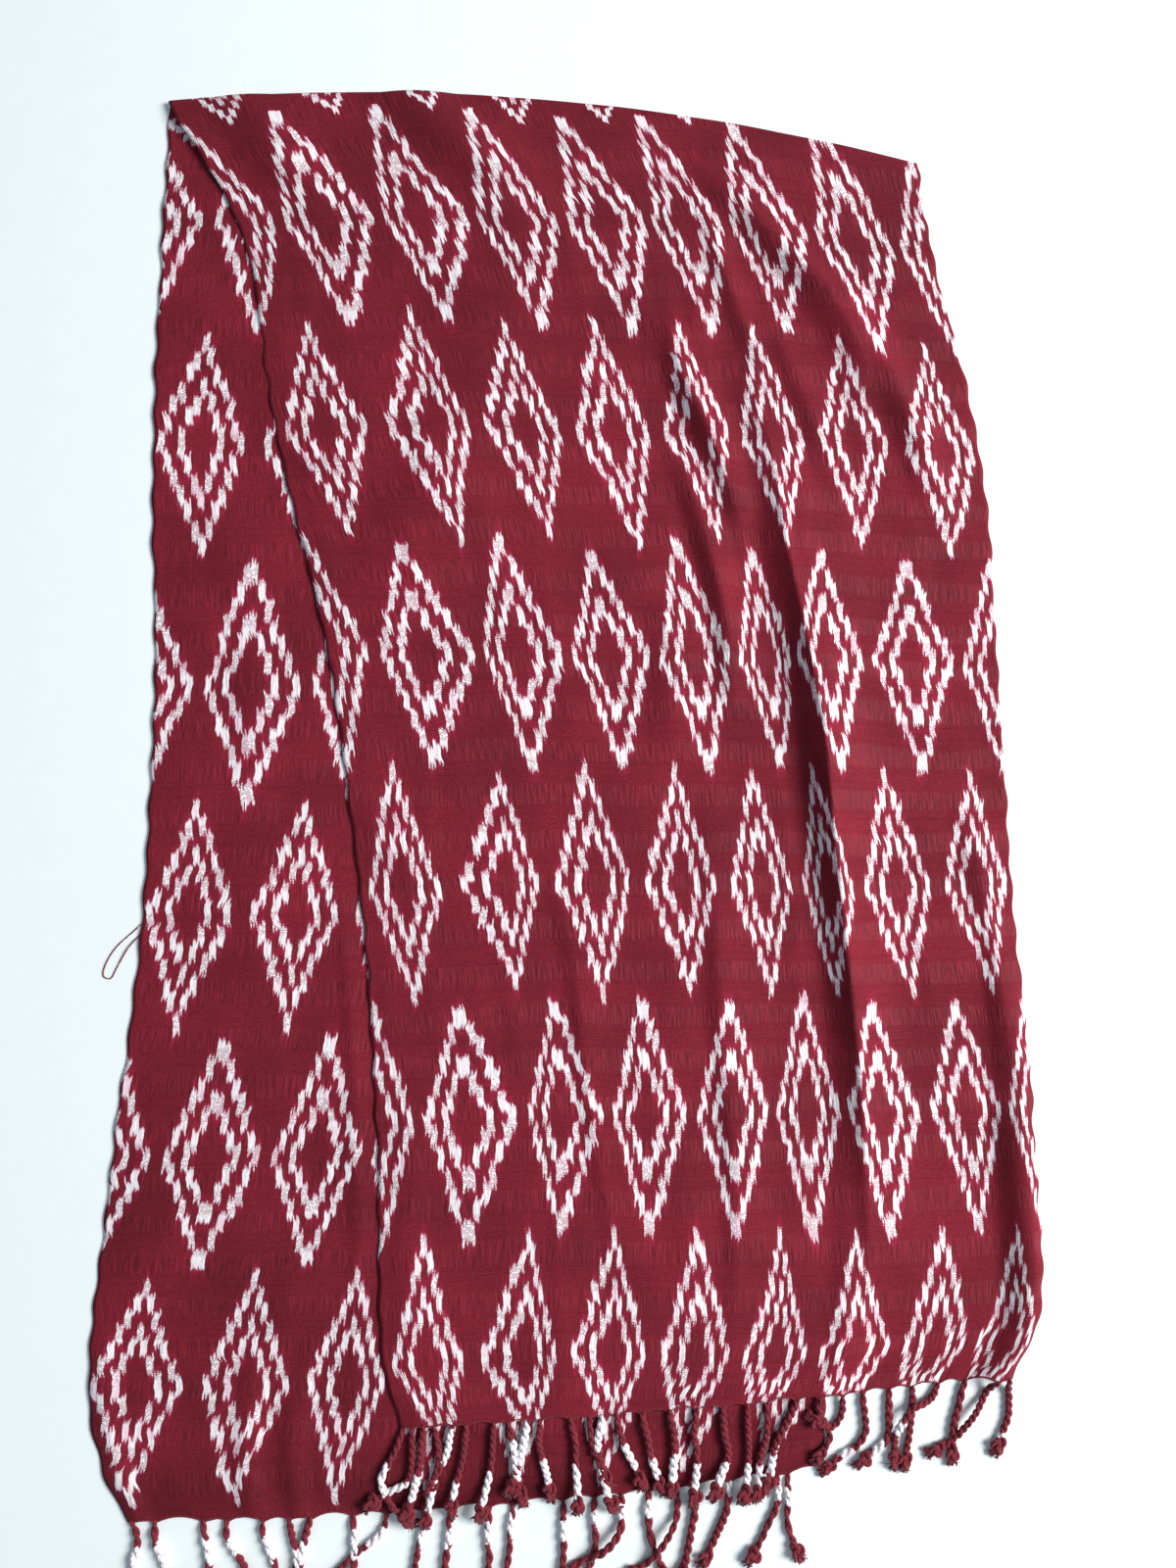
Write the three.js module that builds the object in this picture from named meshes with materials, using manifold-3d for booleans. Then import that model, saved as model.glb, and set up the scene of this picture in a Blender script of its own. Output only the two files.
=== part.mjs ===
// A handwoven wrap scarf, folded once across its length and laid flat, in millimetres, +Z up.
// The fold lies towards +Y and both fringed ends lie towards -Y. The origin is the middle of the
// footprint, on the surface that the scarf lies on.
import * as THREE from "three";
import Module from "manifold-3d";
import { mergeVertices } from "three/addons/utils/BufferGeometryUtils.js";

const wasm = await Module();
wasm.setup();

// Driving dimensions
const CLOTH_WIDTH = 505; // selvedge to selvedge, as woven
const WALL = 1.2; // thickness of the cloth
const SEAM_GAP = 0.3; // clearance between neighbouring pieces
const TURN_RADIUS = 2.7; // outer radius of the turn at the fold
const STRAND_LENGTH = 70; // fringe strand, from the hem to the end of its tuft
const STRAND_WIDTH = 6;
const STRAND_HEIGHT = 4.5;
const KNOT_WIDTH = 8;
const KNOT_HEIGHT = 6.5;
const ROOT_WANDER = 0.1; // how far a strand's root strays from an even spread, of their spacing
const TIP_WANDER = 1.9; // how far its tip strays sideways from its root
const LENGTH_WANDER = 0.05; // and by what share its length varies
const STRIP_DEPTH = 3; // strip that the strands of a fringe grow from
const UPPER_STRANDS = 28;
const LOWER_STRANDS = 24;

// Crossways lines of the cloth. along: distance from the fold, measured on the cloth;
// leftX, leftY, rightX, rightY: where the line meets the selvedges;
// bow: how far the middle of the line lies beyond the straight line, towards +Y.
const UPPER_LINES = [
  { along: 0, leftX: -283, leftY: 521, rightX: 250, rightY: 475, bow: 24 },
  { along: 90, leftX: -230, leftY: 427, rightX: 259, rightY: 418, bow: 11 },
  { along: 241, leftX: -205, leftY: 289, rightX: 291, rightY: 271, bow: 2 },
  { along: 400, leftX: -166, leftY: 130, rightX: 301, rightY: 118, bow: -2 },
  { along: 556, leftX: -140, leftY: -46, rightX: 307, rightY: -36, bow: 5 },
  { along: 714, leftX: -128, leftY: -199, rightX: 317, rightY: -186, bow: 2 },
  { along: 862, leftX: -122, leftY: -352, rightX: 318, rightY: -316, bow: -5 },
  { along: 915, leftX: -109, leftY: -399, rightX: 299, rightY: -357, bow: -6 },
];
const LOWER_LINES = [
  { along: 0, leftX: -283, leftY: 521, rightX: 250, rightY: 475, bow: 24 },
  { along: 99, leftX: -287, leftY: 421, rightX: 243, rightY: 392, bow: 8 },
  { along: 245, leftX: -290, leftY: 277, rightX: 229, rightY: 250, bow: 0 },
  { along: 422, leftX: -286, leftY: 94, rightX: 214, rightY: 76, bow: 0 },
  { along: 577, leftX: -291, leftY: -62, rightX: 202, rightY: -68, bow: 0 },
  { along: 738, leftX: -309, leftY: -231, rightX: 188, rightY: -224, bow: 0 },
  { along: 892, leftX: -320, leftY: -375, rightX: 176, rightY: -364, bow: 0 },
  { along: 945, leftX: -308, leftY: -427, rightX: 174, rightY: -404, bow: 0 },
  { along: 979, leftX: -287, leftY: -461, rightX: 169, rightY: -427, bow: 0 },
];

// Ridges of the upper layer, highest half way along. from, to: [across, along], measured on the cloth
// from the left selvedge and from the fold; steep, gentle: width of the left and the right slope;
// takeUp: width of cloth that the ridge swallows.
const RIDGES = [
  { name: "main", from: [362, 210], to: [374, 850], height: 17, steep: 30, gentle: 48, takeUp: 34 },
  { name: "beside main", from: [308, 170], to: [288, 540], height: 8, steep: 32, gentle: 34, takeUp: 10 },
  { name: "top right", from: [422, 40], to: [482, 320], height: 9, steep: 34, gentle: 40, takeUp: 8 },
  { name: "narrow", from: [343, 40], to: [352, 190], height: 5, steep: 18, gentle: 24, takeUp: 4 },
  { name: "middle", from: [256, 430], to: [252, 820], height: 4, steep: 20, gentle: 42, takeUp: 3 },
  { name: "left", from: [148, 500], to: [160, 760], height: 3, steep: 20, gentle: 44, takeUp: 2 },
  { name: "right edge", from: [512, 470], to: [508, 1180], height: 13, steep: 46, gentle: 40, takeUp: 20 },
  { name: "left edge", from: [-4, -400], to: [-4, 1300], height: 3, steep: 20, gentle: 30, takeUp: 0 },
];

const UPPER_LENGTH = UPPER_LINES[UPPER_LINES.length - 1].along;
const LOWER_LENGTH = LOWER_LINES[LOWER_LINES.length - 1].along;

const clamp01 = (value) => Math.min(1, Math.max(0, value));
const ease = (value) => 0.5 - 0.5 * Math.cos(Math.PI * clamp01(value));
const mix = (a, b, share) => a + (b - a) * share;

// One column of a table of lines, read smoothly between its rows.
function readColumn(lines, column, along) {
  const last = lines.length - 1;
  let row = 0;
  while (row < last - 1 && along > lines[row + 1].along) row += 1;
  const slope = (index) => {
    const before = lines[Math.max(0, index - 1)];
    const after = lines[Math.min(last, index + 1)];
    return (after[column] - before[column]) / (after.along - before.along);
  };
  const span = lines[row + 1].along - lines[row].along;
  const t = (along - lines[row].along) / span;
  const a = lines[row][column];
  const b = lines[row + 1][column];
  const rise = 3 * t * t - 2 * t * t * t;
  const startPull = t * (1 - t) * (1 - t) * span * slope(row);
  const endPull = t * t * (t - 1) * span * slope(row + 1);
  return a + (b - a) * rise + startPull + endPull;
}

// How strongly a ridge stands at this distance along the cloth, and where its crest is there.
function ridgeAt(ridge, along) {
  const [fromAcross, fromAlong] = ridge.from;
  const [toAcross, toAlong] = ridge.to;
  const share = clamp01((along - fromAlong) / (toAlong - fromAlong));
  return { strength: Math.sin(Math.PI * share), crest: mix(fromAcross, toAcross, share) };
}

function ridgeHeight(across, along) {
  return RIDGES.reduce((sum, ridge) => {
    const { strength, crest } = ridgeAt(ridge, along);
    const reach = across < crest ? ridge.steep : ridge.gentle;
    return sum + ridge.height * strength * ease(1 - Math.abs(across - crest) / reach);
  }, 0);
}

// Width of cloth that the ridges have swallowed, counted from the left selvedge.
// Most of it goes into the steep slope.
const TAKE_UP_BEFORE = 1.7;
const TAKE_UP_AFTER = 0.7;
function takenUp(across, along) {
  return RIDGES.reduce((sum, ridge) => {
    const { strength, crest } = ridgeAt(ridge, along);
    const start = crest - TAKE_UP_BEFORE * ridge.steep;
    const end = crest + TAKE_UP_AFTER * ridge.steep;
    return sum + ridge.takeUp * strength * ease((across - start) / (end - start));
  }, 0);
}

// Place in plan of a point of the cloth. share: how far it is from the left to the right selvedge.
function planPoint(lines, share, along) {
  const read = (column) => readColumn(lines, column, along);
  const x = mix(read("leftX"), read("rightX"), share);
  const y = mix(read("leftY"), read("rightY"), share) + read("bow") * 4 * share * (1 - share);
  return new THREE.Vector2(x, y);
}

function lowerPlan(across, along) {
  return planPoint(LOWER_LINES, across / CLOTH_WIDTH, along);
}

function upperPlan(across, along) {
  const whole = CLOTH_WIDTH - takenUp(CLOTH_WIDTH, along);
  return planPoint(UPPER_LINES, (across - takenUp(across, along)) / whole, along);
}

// The right selvedge of the lower layer is close to a straight line.
const LOWER_EDGE_TOP = LOWER_LINES[0];
const LOWER_EDGE_END = LOWER_LINES[LOWER_LINES.length - 3];
function lowerRightEdge(y) {
  const share = (LOWER_EDGE_TOP.rightY - y) / (LOWER_EDGE_TOP.rightY - LOWER_EDGE_END.rightY);
  return mix(LOWER_EDGE_TOP.rightX, LOWER_EDGE_END.rightX, share);
}

// Height of the underside of the upper layer: on the lower layer, and past its edge on the table.
const EDGE_MARGIN = 8;
const EDGE_DROP = 28;
function restHeight(x, y) {
  const beyond = x - lowerRightEdge(y) - EDGE_MARGIN;
  return (WALL + SEAM_GAP) * ease(1 - beyond / EDGE_DROP);
}

const TURN_SETTLE = 60; // the upper layer comes down from the turn over this length
function upperPoint(across, along) {
  const plan = upperPlan(across, along);
  const rest = restHeight(plan.x, plan.y) + WALL / 2;
  const turnTop = 2 * TURN_RADIUS - WALL / 2;
  const fromTurn = (turnTop - WALL * 1.5 - SEAM_GAP) * ease(1 - along / TURN_SETTLE);
  return new THREE.Vector3(plan.x, plan.y, rest + fromTurn + ridgeHeight(across, along));
}

function lowerPoint(across, along) {
  const plan = lowerPlan(across, along);
  return new THREE.Vector3(plan.x, plan.y, WALL / 2);
}

// Rows of points over a stretch of cloth.
function clothRows(pointAt, length, columns, rowCount) {
  return Array.from({ length: rowCount + 1 }, (_, row) =>
    Array.from({ length: columns + 1 }, (_, column) =>
      pointAt((CLOTH_WIDTH * column) / columns, (length * row) / rowCount),
    ),
  );
}

function meshGeometry(positions, indices) {
  const geometry = new THREE.BufferGeometry();
  geometry.setAttribute("position", new THREE.Float32BufferAttribute(positions, 3));
  geometry.setIndex(indices);
  geometry.computeVertexNormals();
  return geometry;
}

// A closed wall of even thickness on both sides of rows of points that run from left to right,
// each row lying towards -Y of the one before it.
function wallGeometry(rows) {
  const rowCount = rows.length;
  const columns = rows[0].length;
  const positions = [];
  const normalAt = (row, column) => {
    const right = rows[row][Math.min(column + 1, columns - 1)].clone();
    right.sub(rows[row][Math.max(column - 1, 0)]);
    const back = rows[Math.max(row - 1, 0)][column].clone();
    back.sub(rows[Math.min(row + 1, rowCount - 1)][column]);
    return right.cross(back).normalize();
  };
  for (const side of [0.5, -0.5]) {
    for (let row = 0; row < rowCount; row += 1) {
      for (let column = 0; column < columns; column += 1) {
        const point = rows[row][column].clone();
        point.addScaledVector(normalAt(row, column), side * WALL);
        positions.push(point.x, point.y, point.z);
      }
    }
  }
  const top = (row, column) => row * columns + column;
  const under = (row, column) => rowCount * columns + top(row, column);
  const indices = [];
  const quad = (a, b, c, d) => indices.push(a, b, c, a, c, d);
  for (let row = 0; row < rowCount - 1; row += 1) {
    for (let column = 0; column < columns - 1; column += 1) {
      quad(top(row, column), top(row + 1, column), top(row + 1, column + 1), top(row, column + 1));
      quad(under(row, column), under(row, column + 1), under(row + 1, column + 1), under(row + 1, column));
    }
    const right = columns - 1;
    quad(top(row, 0), under(row, 0), under(row + 1, 0), top(row + 1, 0));
    quad(top(row + 1, right), under(row + 1, right), under(row, right), top(row, right));
  }
  for (let column = 0; column < columns - 1; column += 1) {
    const end = rowCount - 1;
    quad(top(0, column + 1), under(0, column + 1), under(0, column), top(0, column));
    quad(top(end, column), under(end, column), under(end, column + 1), top(end, column + 1));
  }
  return meshGeometry(positions, indices);
}

// The turn at the fold: half a round, from the end of the upper layer to the end of the lower one.
function turnRows(columns, steps) {
  const middle = TURN_RADIUS - WALL / 2;
  return Array.from({ length: steps + 1 }, (_, step) => {
    const angle = Math.PI / 2 - (Math.PI * step) / steps;
    return Array.from({ length: columns + 1 }, (_, column) => {
      const seam = lowerPlan((CLOTH_WIDTH * column) / columns, 0);
      const y = seam.y + SEAM_GAP + middle * Math.cos(angle);
      return new THREE.Vector3(seam.x, y, TURN_RADIUS + middle * Math.sin(angle));
    });
  }).reverse();
}

function toSolid(geometry) {
  const bare = geometry.clone();
  bare.deleteAttribute("normal");
  const merged = mergeVertices(bare);
  const mesh = new wasm.Mesh({
    numProp: 3,
    vertProperties: new Float32Array(merged.attributes.position.array),
    triVerts: new Uint32Array(merged.index.array),
  });
  return new wasm.Manifold(mesh);
}

function toGeometry(solid) {
  const mesh = solid.getMesh();
  return meshGeometry(Array.from(mesh.vertProperties), Array.from(mesh.triVerts));
}

// A fringe strand: a four-sided tube through sections with a floor point, a width and a height.
function strandGeometry(sections) {
  const positions = [];
  sections.forEach((section, index) => {
    const before = sections[Math.max(0, index - 1)].floor;
    const after = sections[Math.min(sections.length - 1, index + 1)].floor;
    const side = new THREE.Vector2(after.y - before.y, before.x - after.x).normalize();
    side.multiplyScalar(section.width / 2);
    const { x, y, z } = section.floor;
    positions.push(x - side.x, y - side.y, z, x + side.x, y + side.y, z);
    positions.push(x + side.x, y + side.y, z + section.height);
    positions.push(x - side.x, y - side.y, z + section.height);
  });
  const indices = [0, 1, 2, 0, 2, 3];
  for (let ring = 0; ring < sections.length - 1; ring += 1) {
    for (let corner = 0; corner < 4; corner += 1) {
      const a = ring * 4 + corner;
      const b = ring * 4 + ((corner + 1) % 4);
      indices.push(a, a + 4, b + 4, a, b + 4, b);
    }
  }
  const end = (sections.length - 1) * 4;
  indices.push(end, end + 2, end + 1, end, end + 3, end + 2);
  return meshGeometry(positions, indices);
}

// Sections of every strand, by their share of its length.
const STRAND_SECTIONS = [
  { share: 0, width: STRAND_WIDTH * 0.8, height: WALL * 0.8 },
  { share: 0.14, width: STRAND_WIDTH, height: STRAND_HEIGHT },
  { share: 0.4, width: STRAND_WIDTH, height: STRAND_HEIGHT },
  { share: 0.68, width: STRAND_WIDTH, height: STRAND_HEIGHT },
  { share: 0.74, width: KNOT_WIDTH, height: KNOT_HEIGHT },
  { share: 0.84, width: KNOT_WIDTH, height: KNOT_HEIGHT },
  { share: 0.9, width: STRAND_WIDTH * 0.8, height: STRAND_HEIGHT },
  { share: 1, width: STRAND_WIDTH, height: STRAND_HEIGHT },
];

// An even spread of numbers from -1 to 1, the same on every run.
function scatter(index) {
  const wave = Math.sin(index * 12.9898) * 43758.5453;
  return 2 * (wave - Math.floor(wave)) - 1;
}

const STRAND_FLOOR = 0.3; // the strands end just above the surface
const CROSSING_FLOOR = STRAND_FLOOR + STRAND_HEIGHT + 2 * SEAM_GAP;
const CLEAR_OF_HEM = 9;
const DRAPE_SHARE = 0.35; // share of a strand in which it comes down from a raised hem

function lowerHemY(x) {
  const end = LOWER_LINES[LOWER_LINES.length - 1];
  return mix(end.leftY, end.rightY, (x - end.leftX) / (end.rightX - end.leftX));
}

// What an upper strand lies on: the lower layer, the lower fringe, or the table beside them.
function upperStrandFloor(x, y) {
  const rightOfCloth = x - lowerRightEdge(y) > CLEAR_OF_HEM;
  if (y < lowerHemY(x) + CLEAR_OF_HEM) return rightOfCloth ? STRAND_FLOOR : CROSSING_FLOOR;
  return rightOfCloth ? STRAND_FLOOR : WALL + SEAM_GAP;
}

// A fringe: a narrow strip just off the hem, with strands growing from it.
function fringeGeometry(pointAt, hemAlong, strandCount, floorAt, seed) {
  const stripRows = [SEAM_GAP, SEAM_GAP + STRIP_DEPTH].map((drop) =>
    Array.from({ length: strandCount * 2 + 1 }, (_, column) => {
      const point = pointAt((CLOTH_WIDTH * column) / (strandCount * 2), hemAlong);
      return point.setY(point.y - drop);
    }),
  );
  const strands = Array.from({ length: strandCount }, (_, index) => {
    const place = (index + 0.5 + ROOT_WANDER * scatter(seed + index)) / strandCount;
    const root = pointAt(CLOTH_WIDTH * place, hemAlong);
    root.y -= SEAM_GAP + STRIP_DEPTH / 2;
    root.z -= STRAND_SECTIONS[0].height / 2;
    const lean = TIP_WANDER * scatter(seed + 50 + index);
    const length = STRAND_LENGTH * (1 + LENGTH_WANDER * scatter(seed + 100 + index));
    const sections = STRAND_SECTIONS.map(({ share, width, height }) => {
      const x = root.x + lean * ease(share);
      const y = root.y - length * share;
      const settled = ease(share / DRAPE_SHARE);
      const z = share === 0 ? root.z : Math.max(floorAt(x, y), mix(root.z, floorAt(x, y), settled));
      return { floor: new THREE.Vector3(x, y, z), width, height };
    });
    return toSolid(strandGeometry(sections));
  });
  return toGeometry(wasm.Manifold.union([toSolid(wallGeometry(stripRows)), ...strands]));
}

const cloth = new THREE.MeshStandardMaterial({ color: 0x7a1c2c, roughness: 0.88, metalness: 0 });
const yarn = new THREE.MeshStandardMaterial({ color: 0xb98a93, roughness: 0.9, metalness: 0 });

function piece(name, geometry, material) {
  const mesh = new THREE.Mesh(geometry, material);
  mesh.name = name;
  return mesh;
}

const lowerLayer = wallGeometry(clothRows(lowerPoint, LOWER_LENGTH, 20, 22));
const upperLayer = wallGeometry(clothRows(upperPoint, UPPER_LENGTH, 56, 26));
const lowerFringe = fringeGeometry(lowerPoint, LOWER_LENGTH, LOWER_STRANDS, () => STRAND_FLOOR, 1);
const upperFringe = fringeGeometry(upperPoint, UPPER_LENGTH, UPPER_STRANDS, upperStrandFloor, 400);

const scarf = new THREE.Group();
scarf.name = "wrap_scarf";
scarf.add(
  piece("lower_layer", lowerLayer, cloth),
  piece("top_fold", wallGeometry(turnRows(24, 6)), cloth),
  piece("upper_layer", upperLayer, cloth),
  piece("lower_fringe", lowerFringe, yarn),
  piece("upper_fringe", upperFringe, yarn),
);

export default scarf;
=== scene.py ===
"""A handwoven cotton wrap scarf with a tie-dyed warp, folded once across its length and laid flat."""
import math

import bpy
import numpy as np
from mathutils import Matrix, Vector


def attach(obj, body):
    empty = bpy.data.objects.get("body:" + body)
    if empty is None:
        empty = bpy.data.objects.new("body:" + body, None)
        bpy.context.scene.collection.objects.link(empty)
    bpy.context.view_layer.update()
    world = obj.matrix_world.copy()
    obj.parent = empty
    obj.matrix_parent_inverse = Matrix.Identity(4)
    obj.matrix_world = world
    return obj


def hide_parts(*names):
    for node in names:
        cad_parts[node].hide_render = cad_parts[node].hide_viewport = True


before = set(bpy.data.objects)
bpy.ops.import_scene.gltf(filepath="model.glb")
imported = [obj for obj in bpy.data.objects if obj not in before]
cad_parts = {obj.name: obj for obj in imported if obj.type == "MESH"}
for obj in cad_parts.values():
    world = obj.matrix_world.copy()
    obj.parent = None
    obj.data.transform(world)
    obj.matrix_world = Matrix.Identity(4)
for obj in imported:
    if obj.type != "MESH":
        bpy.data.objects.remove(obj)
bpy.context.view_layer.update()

MM = 0.001

# --- The cloth's sizes, in millimetres ------------------------------------------------------------
CLOTH_WIDTH = 505.0
CLOTH_THICKNESS = 0.9
WALL = 1.2  # the cloth as the frame has it
TURN_RADIUS = 2.7
SEAM_GAP = 0.3
UPPER_LENGTH = 915.0
LOWER_LENGTH = 979.0

# Crossways lines of the upper half. along: distance from the fold, on the cloth; x: where the line
# crosses the stops of the width; left_y, right_y: its ends; bow: how far its middle bulges to +Y.
WIDTH_STOPS = (0, 60, 126, 188, 250, 312, 377, 440, 505)
UPPER_LINES = (
    dict(along=0, x=(-283, -215, -142, -75, -10, 51, 118, 182, 250), left_y=521, right_y=475, bow=24),
    dict(along=90, x=(-230, -170, -103, -36, 28, 86, 141, 204, 259), left_y=427, right_y=418, bow=11),
    dict(along=241, x=(-205, -136, -65, 0, 63, 117, 171, 229, 291), left_y=289, right_y=271, bow=2),
    dict(along=400, x=(-166, -100, -33, 30, 90, 140, 180, 242, 301), left_y=130, right_y=118, bow=-2),
    dict(along=556, x=(-140, -81, -14, 48, 107, 158, 199, 254, 307), left_y=-46, right_y=-36, bow=5),
    dict(along=714, x=(-128, -67, -3, 55, 114, 165, 214, 275, 317), left_y=-199, right_y=-186, bow=2),
    dict(along=862, x=(-122, -65, -2, 58, 115, 168, 223, 278, 318), left_y=-352, right_y=-319, bow=-5),
    dict(along=915, x=(-109, -58, -1, 53, 106, 157, 211, 258, 299), left_y=-399, right_y=-365, bow=-4),
)
# The lower half has no drape folds, so its lines need only their ends.
LOWER_LINES = (
    dict(along=0, left_x=-283, left_y=521, right_x=250, right_y=475, bow=24),
    dict(along=99, left_x=-287, left_y=421, right_x=243, right_y=392, bow=8),
    dict(along=245, left_x=-290, left_y=277, right_x=229, right_y=250, bow=0),
    dict(along=422, left_x=-286, left_y=94, right_x=214, right_y=76, bow=0),
    dict(along=577, left_x=-291, left_y=-62, right_x=202, right_y=-68, bow=0),
    dict(along=738, left_x=-309, left_y=-231, right_x=188, right_y=-224, bow=0),
    dict(along=892, left_x=-320, left_y=-375, right_x=176, right_y=-364, bow=-3),
    dict(along=945, left_x=-309, left_y=-427, right_x=174, right_y=-404, bow=-5),
    dict(along=979, left_x=-291, left_y=-461, right_x=169, right_y=-427, bow=-8),
)

# Drape folds of the upper half. foot: (across, along) points that the middle of the steep left slope
# follows; steep, gentle: widths of the slopes left and right of the crest; crisp: 0 round, 1 creased.
UPPER_FOLDS = (
    dict(
        foot=(
            (322, 195), (328, 270), (331, 318), (341, 375), (348, 440), (343, 525), (344, 630), (345, 700),
            (340, 840),
        ),
        height=16, steep=32, gentle=46, crisp=0.8,
    ),
    dict(foot=((350, 250), (362, 350), (364, 440), (352, 560)), height=5.5, steep=36, gentle=44, crisp=0),
    dict(foot=((265, 155), (272, 205), (284, 242), (297, 310)), height=10, steep=20, gentle=30, crisp=0.4),
    dict(foot=((256, 255), (267, 325), (271, 370), (267, 440)), height=8, steep=18, gentle=26, crisp=0.3),
    dict(foot=((226, 350), (213, 480)), height=3.5, steep=24, gentle=26, crisp=0),
    dict(foot=((336, 40), (360, 88), (396, 138), (422, 220)), height=10.5, steep=30, gentle=36, crisp=0.3),
    dict(foot=((424, 150), (444, 220), (464, 310)), height=6.5, steep=22, gentle=30, crisp=0.3),
    dict(foot=((322, 65), (326, 125), (340, 200)), height=4, steep=16, gentle=20, crisp=0.3),
    dict(foot=((350, 150), (370, 212), (388, 290)), height=4, steep=18, gentle=24, crisp=0.2),
    dict(foot=((240, 490), (237, 640), (243, 770), (240, 900)), height=3.5, steep=14, gentle=44, crisp=0.4),
    dict(foot=((122, 530), (136, 605), (141, 700), (160, 810)), height=2.8, steep=12, gentle=40, crisp=0.5),
    dict(foot=((460, 490), (474, 580), (476, 700)), height=4, steep=18, gentle=28, crisp=0.2),
    dict(foot=((476, 600), (471, 762), (475, 850), (464, 1010)), height=12, steep=40, gentle=28, crisp=0.1),
    dict(foot=((26, -20), (36, 40), (46, 92)), height=5.5, steep=32, gentle=40, crisp=0),
    dict(foot=((128, -20), (156, 32), (184, 78)), height=7, steep=42, gentle=46, crisp=0),
    dict(foot=((140, 110), (112, 205), (62, 300), (10, 400)), height=4, steep=46, gentle=60, crisp=0),
)
# The lower half's open strip has a crease beside the upper half, and its hem ripples.
LOWER_FOLDS = (
    dict(foot=((126, 530), (146, 620), (166, 740), (180, 860)), height=1.8, steep=10, gentle=14, crisp=0.4),
    dict(foot=((2, 840), (6, 930), (4, 1010)), height=2.6, steep=10, gentle=14, crisp=0),
    dict(foot=((112, 850), (100, 915), (74, 1030)), height=2.4, steep=14, gentle=16, crisp=0),
    dict(foot=((150, 850), (136, 900), (112, 1020)), height=2.4, steep=14, gentle=16, crisp=0),
    dict(foot=((40, 300), (60, 420), (52, 560)), height=1.6, steep=22, gentle=30, crisp=0),
    dict(foot=((90, 60), (70, 160), (76, 260)), height=1.4, steep=20, gentle=26, crisp=0),
)
FOLD_END = 0.75  # power of the sine that ends a fold; the smaller, the more sudden
CREASE_POWER = 1.6  # how hollow the slopes of a creased fold are
CREASE_FULLNESS = 0.4  # the larger, the fuller these slopes

# Where the upper half's left selvedge stands off the cloth below it: (along, height).
SELVEDGE_LIFT = (
    (0, 0), (18, 2.6), (60, 1.6), (95, 0.2), (280, 0.1), (360, 1.2), (440, 0.2), (700, 0.1), (915, 0.3),
)
SELVEDGE_LIFT_WIDTH = 22.0
SELVEDGE_DROP = 0.35  # apart from that it lies lower than the cloth beside it

# --- The cloth's small relief, in millimetres -----------------------------------------------------
# Soft hills: the size of one across and along the cloth, and the seed.
HILLS = dict(
    scallop=(50, 19, 3),
    band_drift=(160, 60, 5),
    band=(34, 22, 6),
    upper=(27, 44, 7),
    lower=(27, 44, 8),
    turn=(38, 20, 9),
    upper_wide=(75, 120, 17),
)
UPPER_HILL_HEIGHT = 0.5
UPPER_WIDE_HILL_HEIGHT = 0.9
LOWER_HILL_HEIGHT = 0.4
# Short soft ridges along the warp. Each has its own value between the two that stand here.
WRINKLE_ACROSS = (10, CLOTH_WIDTH - 10)
WRINKLE_ALONG = (20, 900)
WRINKLE_LENGTH = (40, 150)
WRINKLE_WIDTH = (5, 13)
WRINKLE_LEAN = (-0.12, 0.12)
WRINKLE_SHARE = (0.25, 1)  # of the height called top
WRINKLE_END = 3.0  # how sharply a ridge ends
UPPER_WRINKLES = dict(count=90, seed=11, top=0.8)
LOWER_WRINKLES = dict(count=70, seed=21, top=0.7)
UPPER_BAND_HEIGHT = 0.35
LOWER_BAND_HEIGHT = 0.3
BAND_DRIFT = 2.2  # how far the bands' places wander along the cloth
BAND_SWELL = 0.7  # share of its height that a puckered band has, BAND_UNEVEN more or less
BAND_UNEVEN = 0.5
SCALLOP = 0.7  # how far the selvedges swell with the bands, and as much again at random
SCALLOP_REACH = 14.0
# Near the turn and the left selvedge the upper half is smoother.
CALM_LENGTH = 40.0
CALM_WIDTH = 16.0
CALM_SHARE = 0.35  # relief that is left at the selvedge
TURN_SLOPE = 60.0  # length over which the upper half comes down from the turn
TURN_UNEVEN = 0.12
TURN_LENGTH = 7.0  # length of the pattern that lies round the turn
DROP_START = 8.0  # past the lower half's right edge the upper half comes down to the table
DROP_WIDTH = 28.0
# The lower half ripples beside its left selvedge, where it is open, and is calmer where it is covered.
OPEN_STRIP = 60.0  # width of the open part at the fold
OPEN_STRIP_WIDENS = 0.12  # what that width gains for each millimetre along
HIDDEN_EASE = 60.0
HIDDEN_CALM = 0.8  # share of the ripples that the covered part lacks
# Towards the lower half's end the pattern lies further over, as if the left selvedge were turned
# under: TURNED_WHOLE everywhere, and TURNED_LEFT more left of TURNED_FROM, fading over TURNED_WIDTH.
TURNED_START = 885.0
TURNED_LENGTH = 105.0
TURNED_WHOLE = 12.0
TURNED_LEFT = 14.0
TURNED_FROM = 120.0
TURNED_WIDTH = 180.0

# --- The dyed pattern's chart ---------------------------------------------------------------------
COLUMN_PITCH = 63.125  # eight columns of diamonds across the cloth
UPPER_COLUMNS = (
    (0, 0), (29, 0.5), (60, 1), (100, 1.5), (126, 2), (161, 2.5), (188, 3), (221, 3.5), (250, 4),
    (283, 4.5), (312, 5), (345, 5.5), (377, 6), (410, 6.5), (440, 7), (475, 7.5), (505, 8),
)
LOWER_COLUMNS = ((0, 0.1), (31, 0.5), (68, 1), (107, 1.5), (142, 2), (176, 2.5), (505, 8))
ROW_PITCH = 312.0
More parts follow.
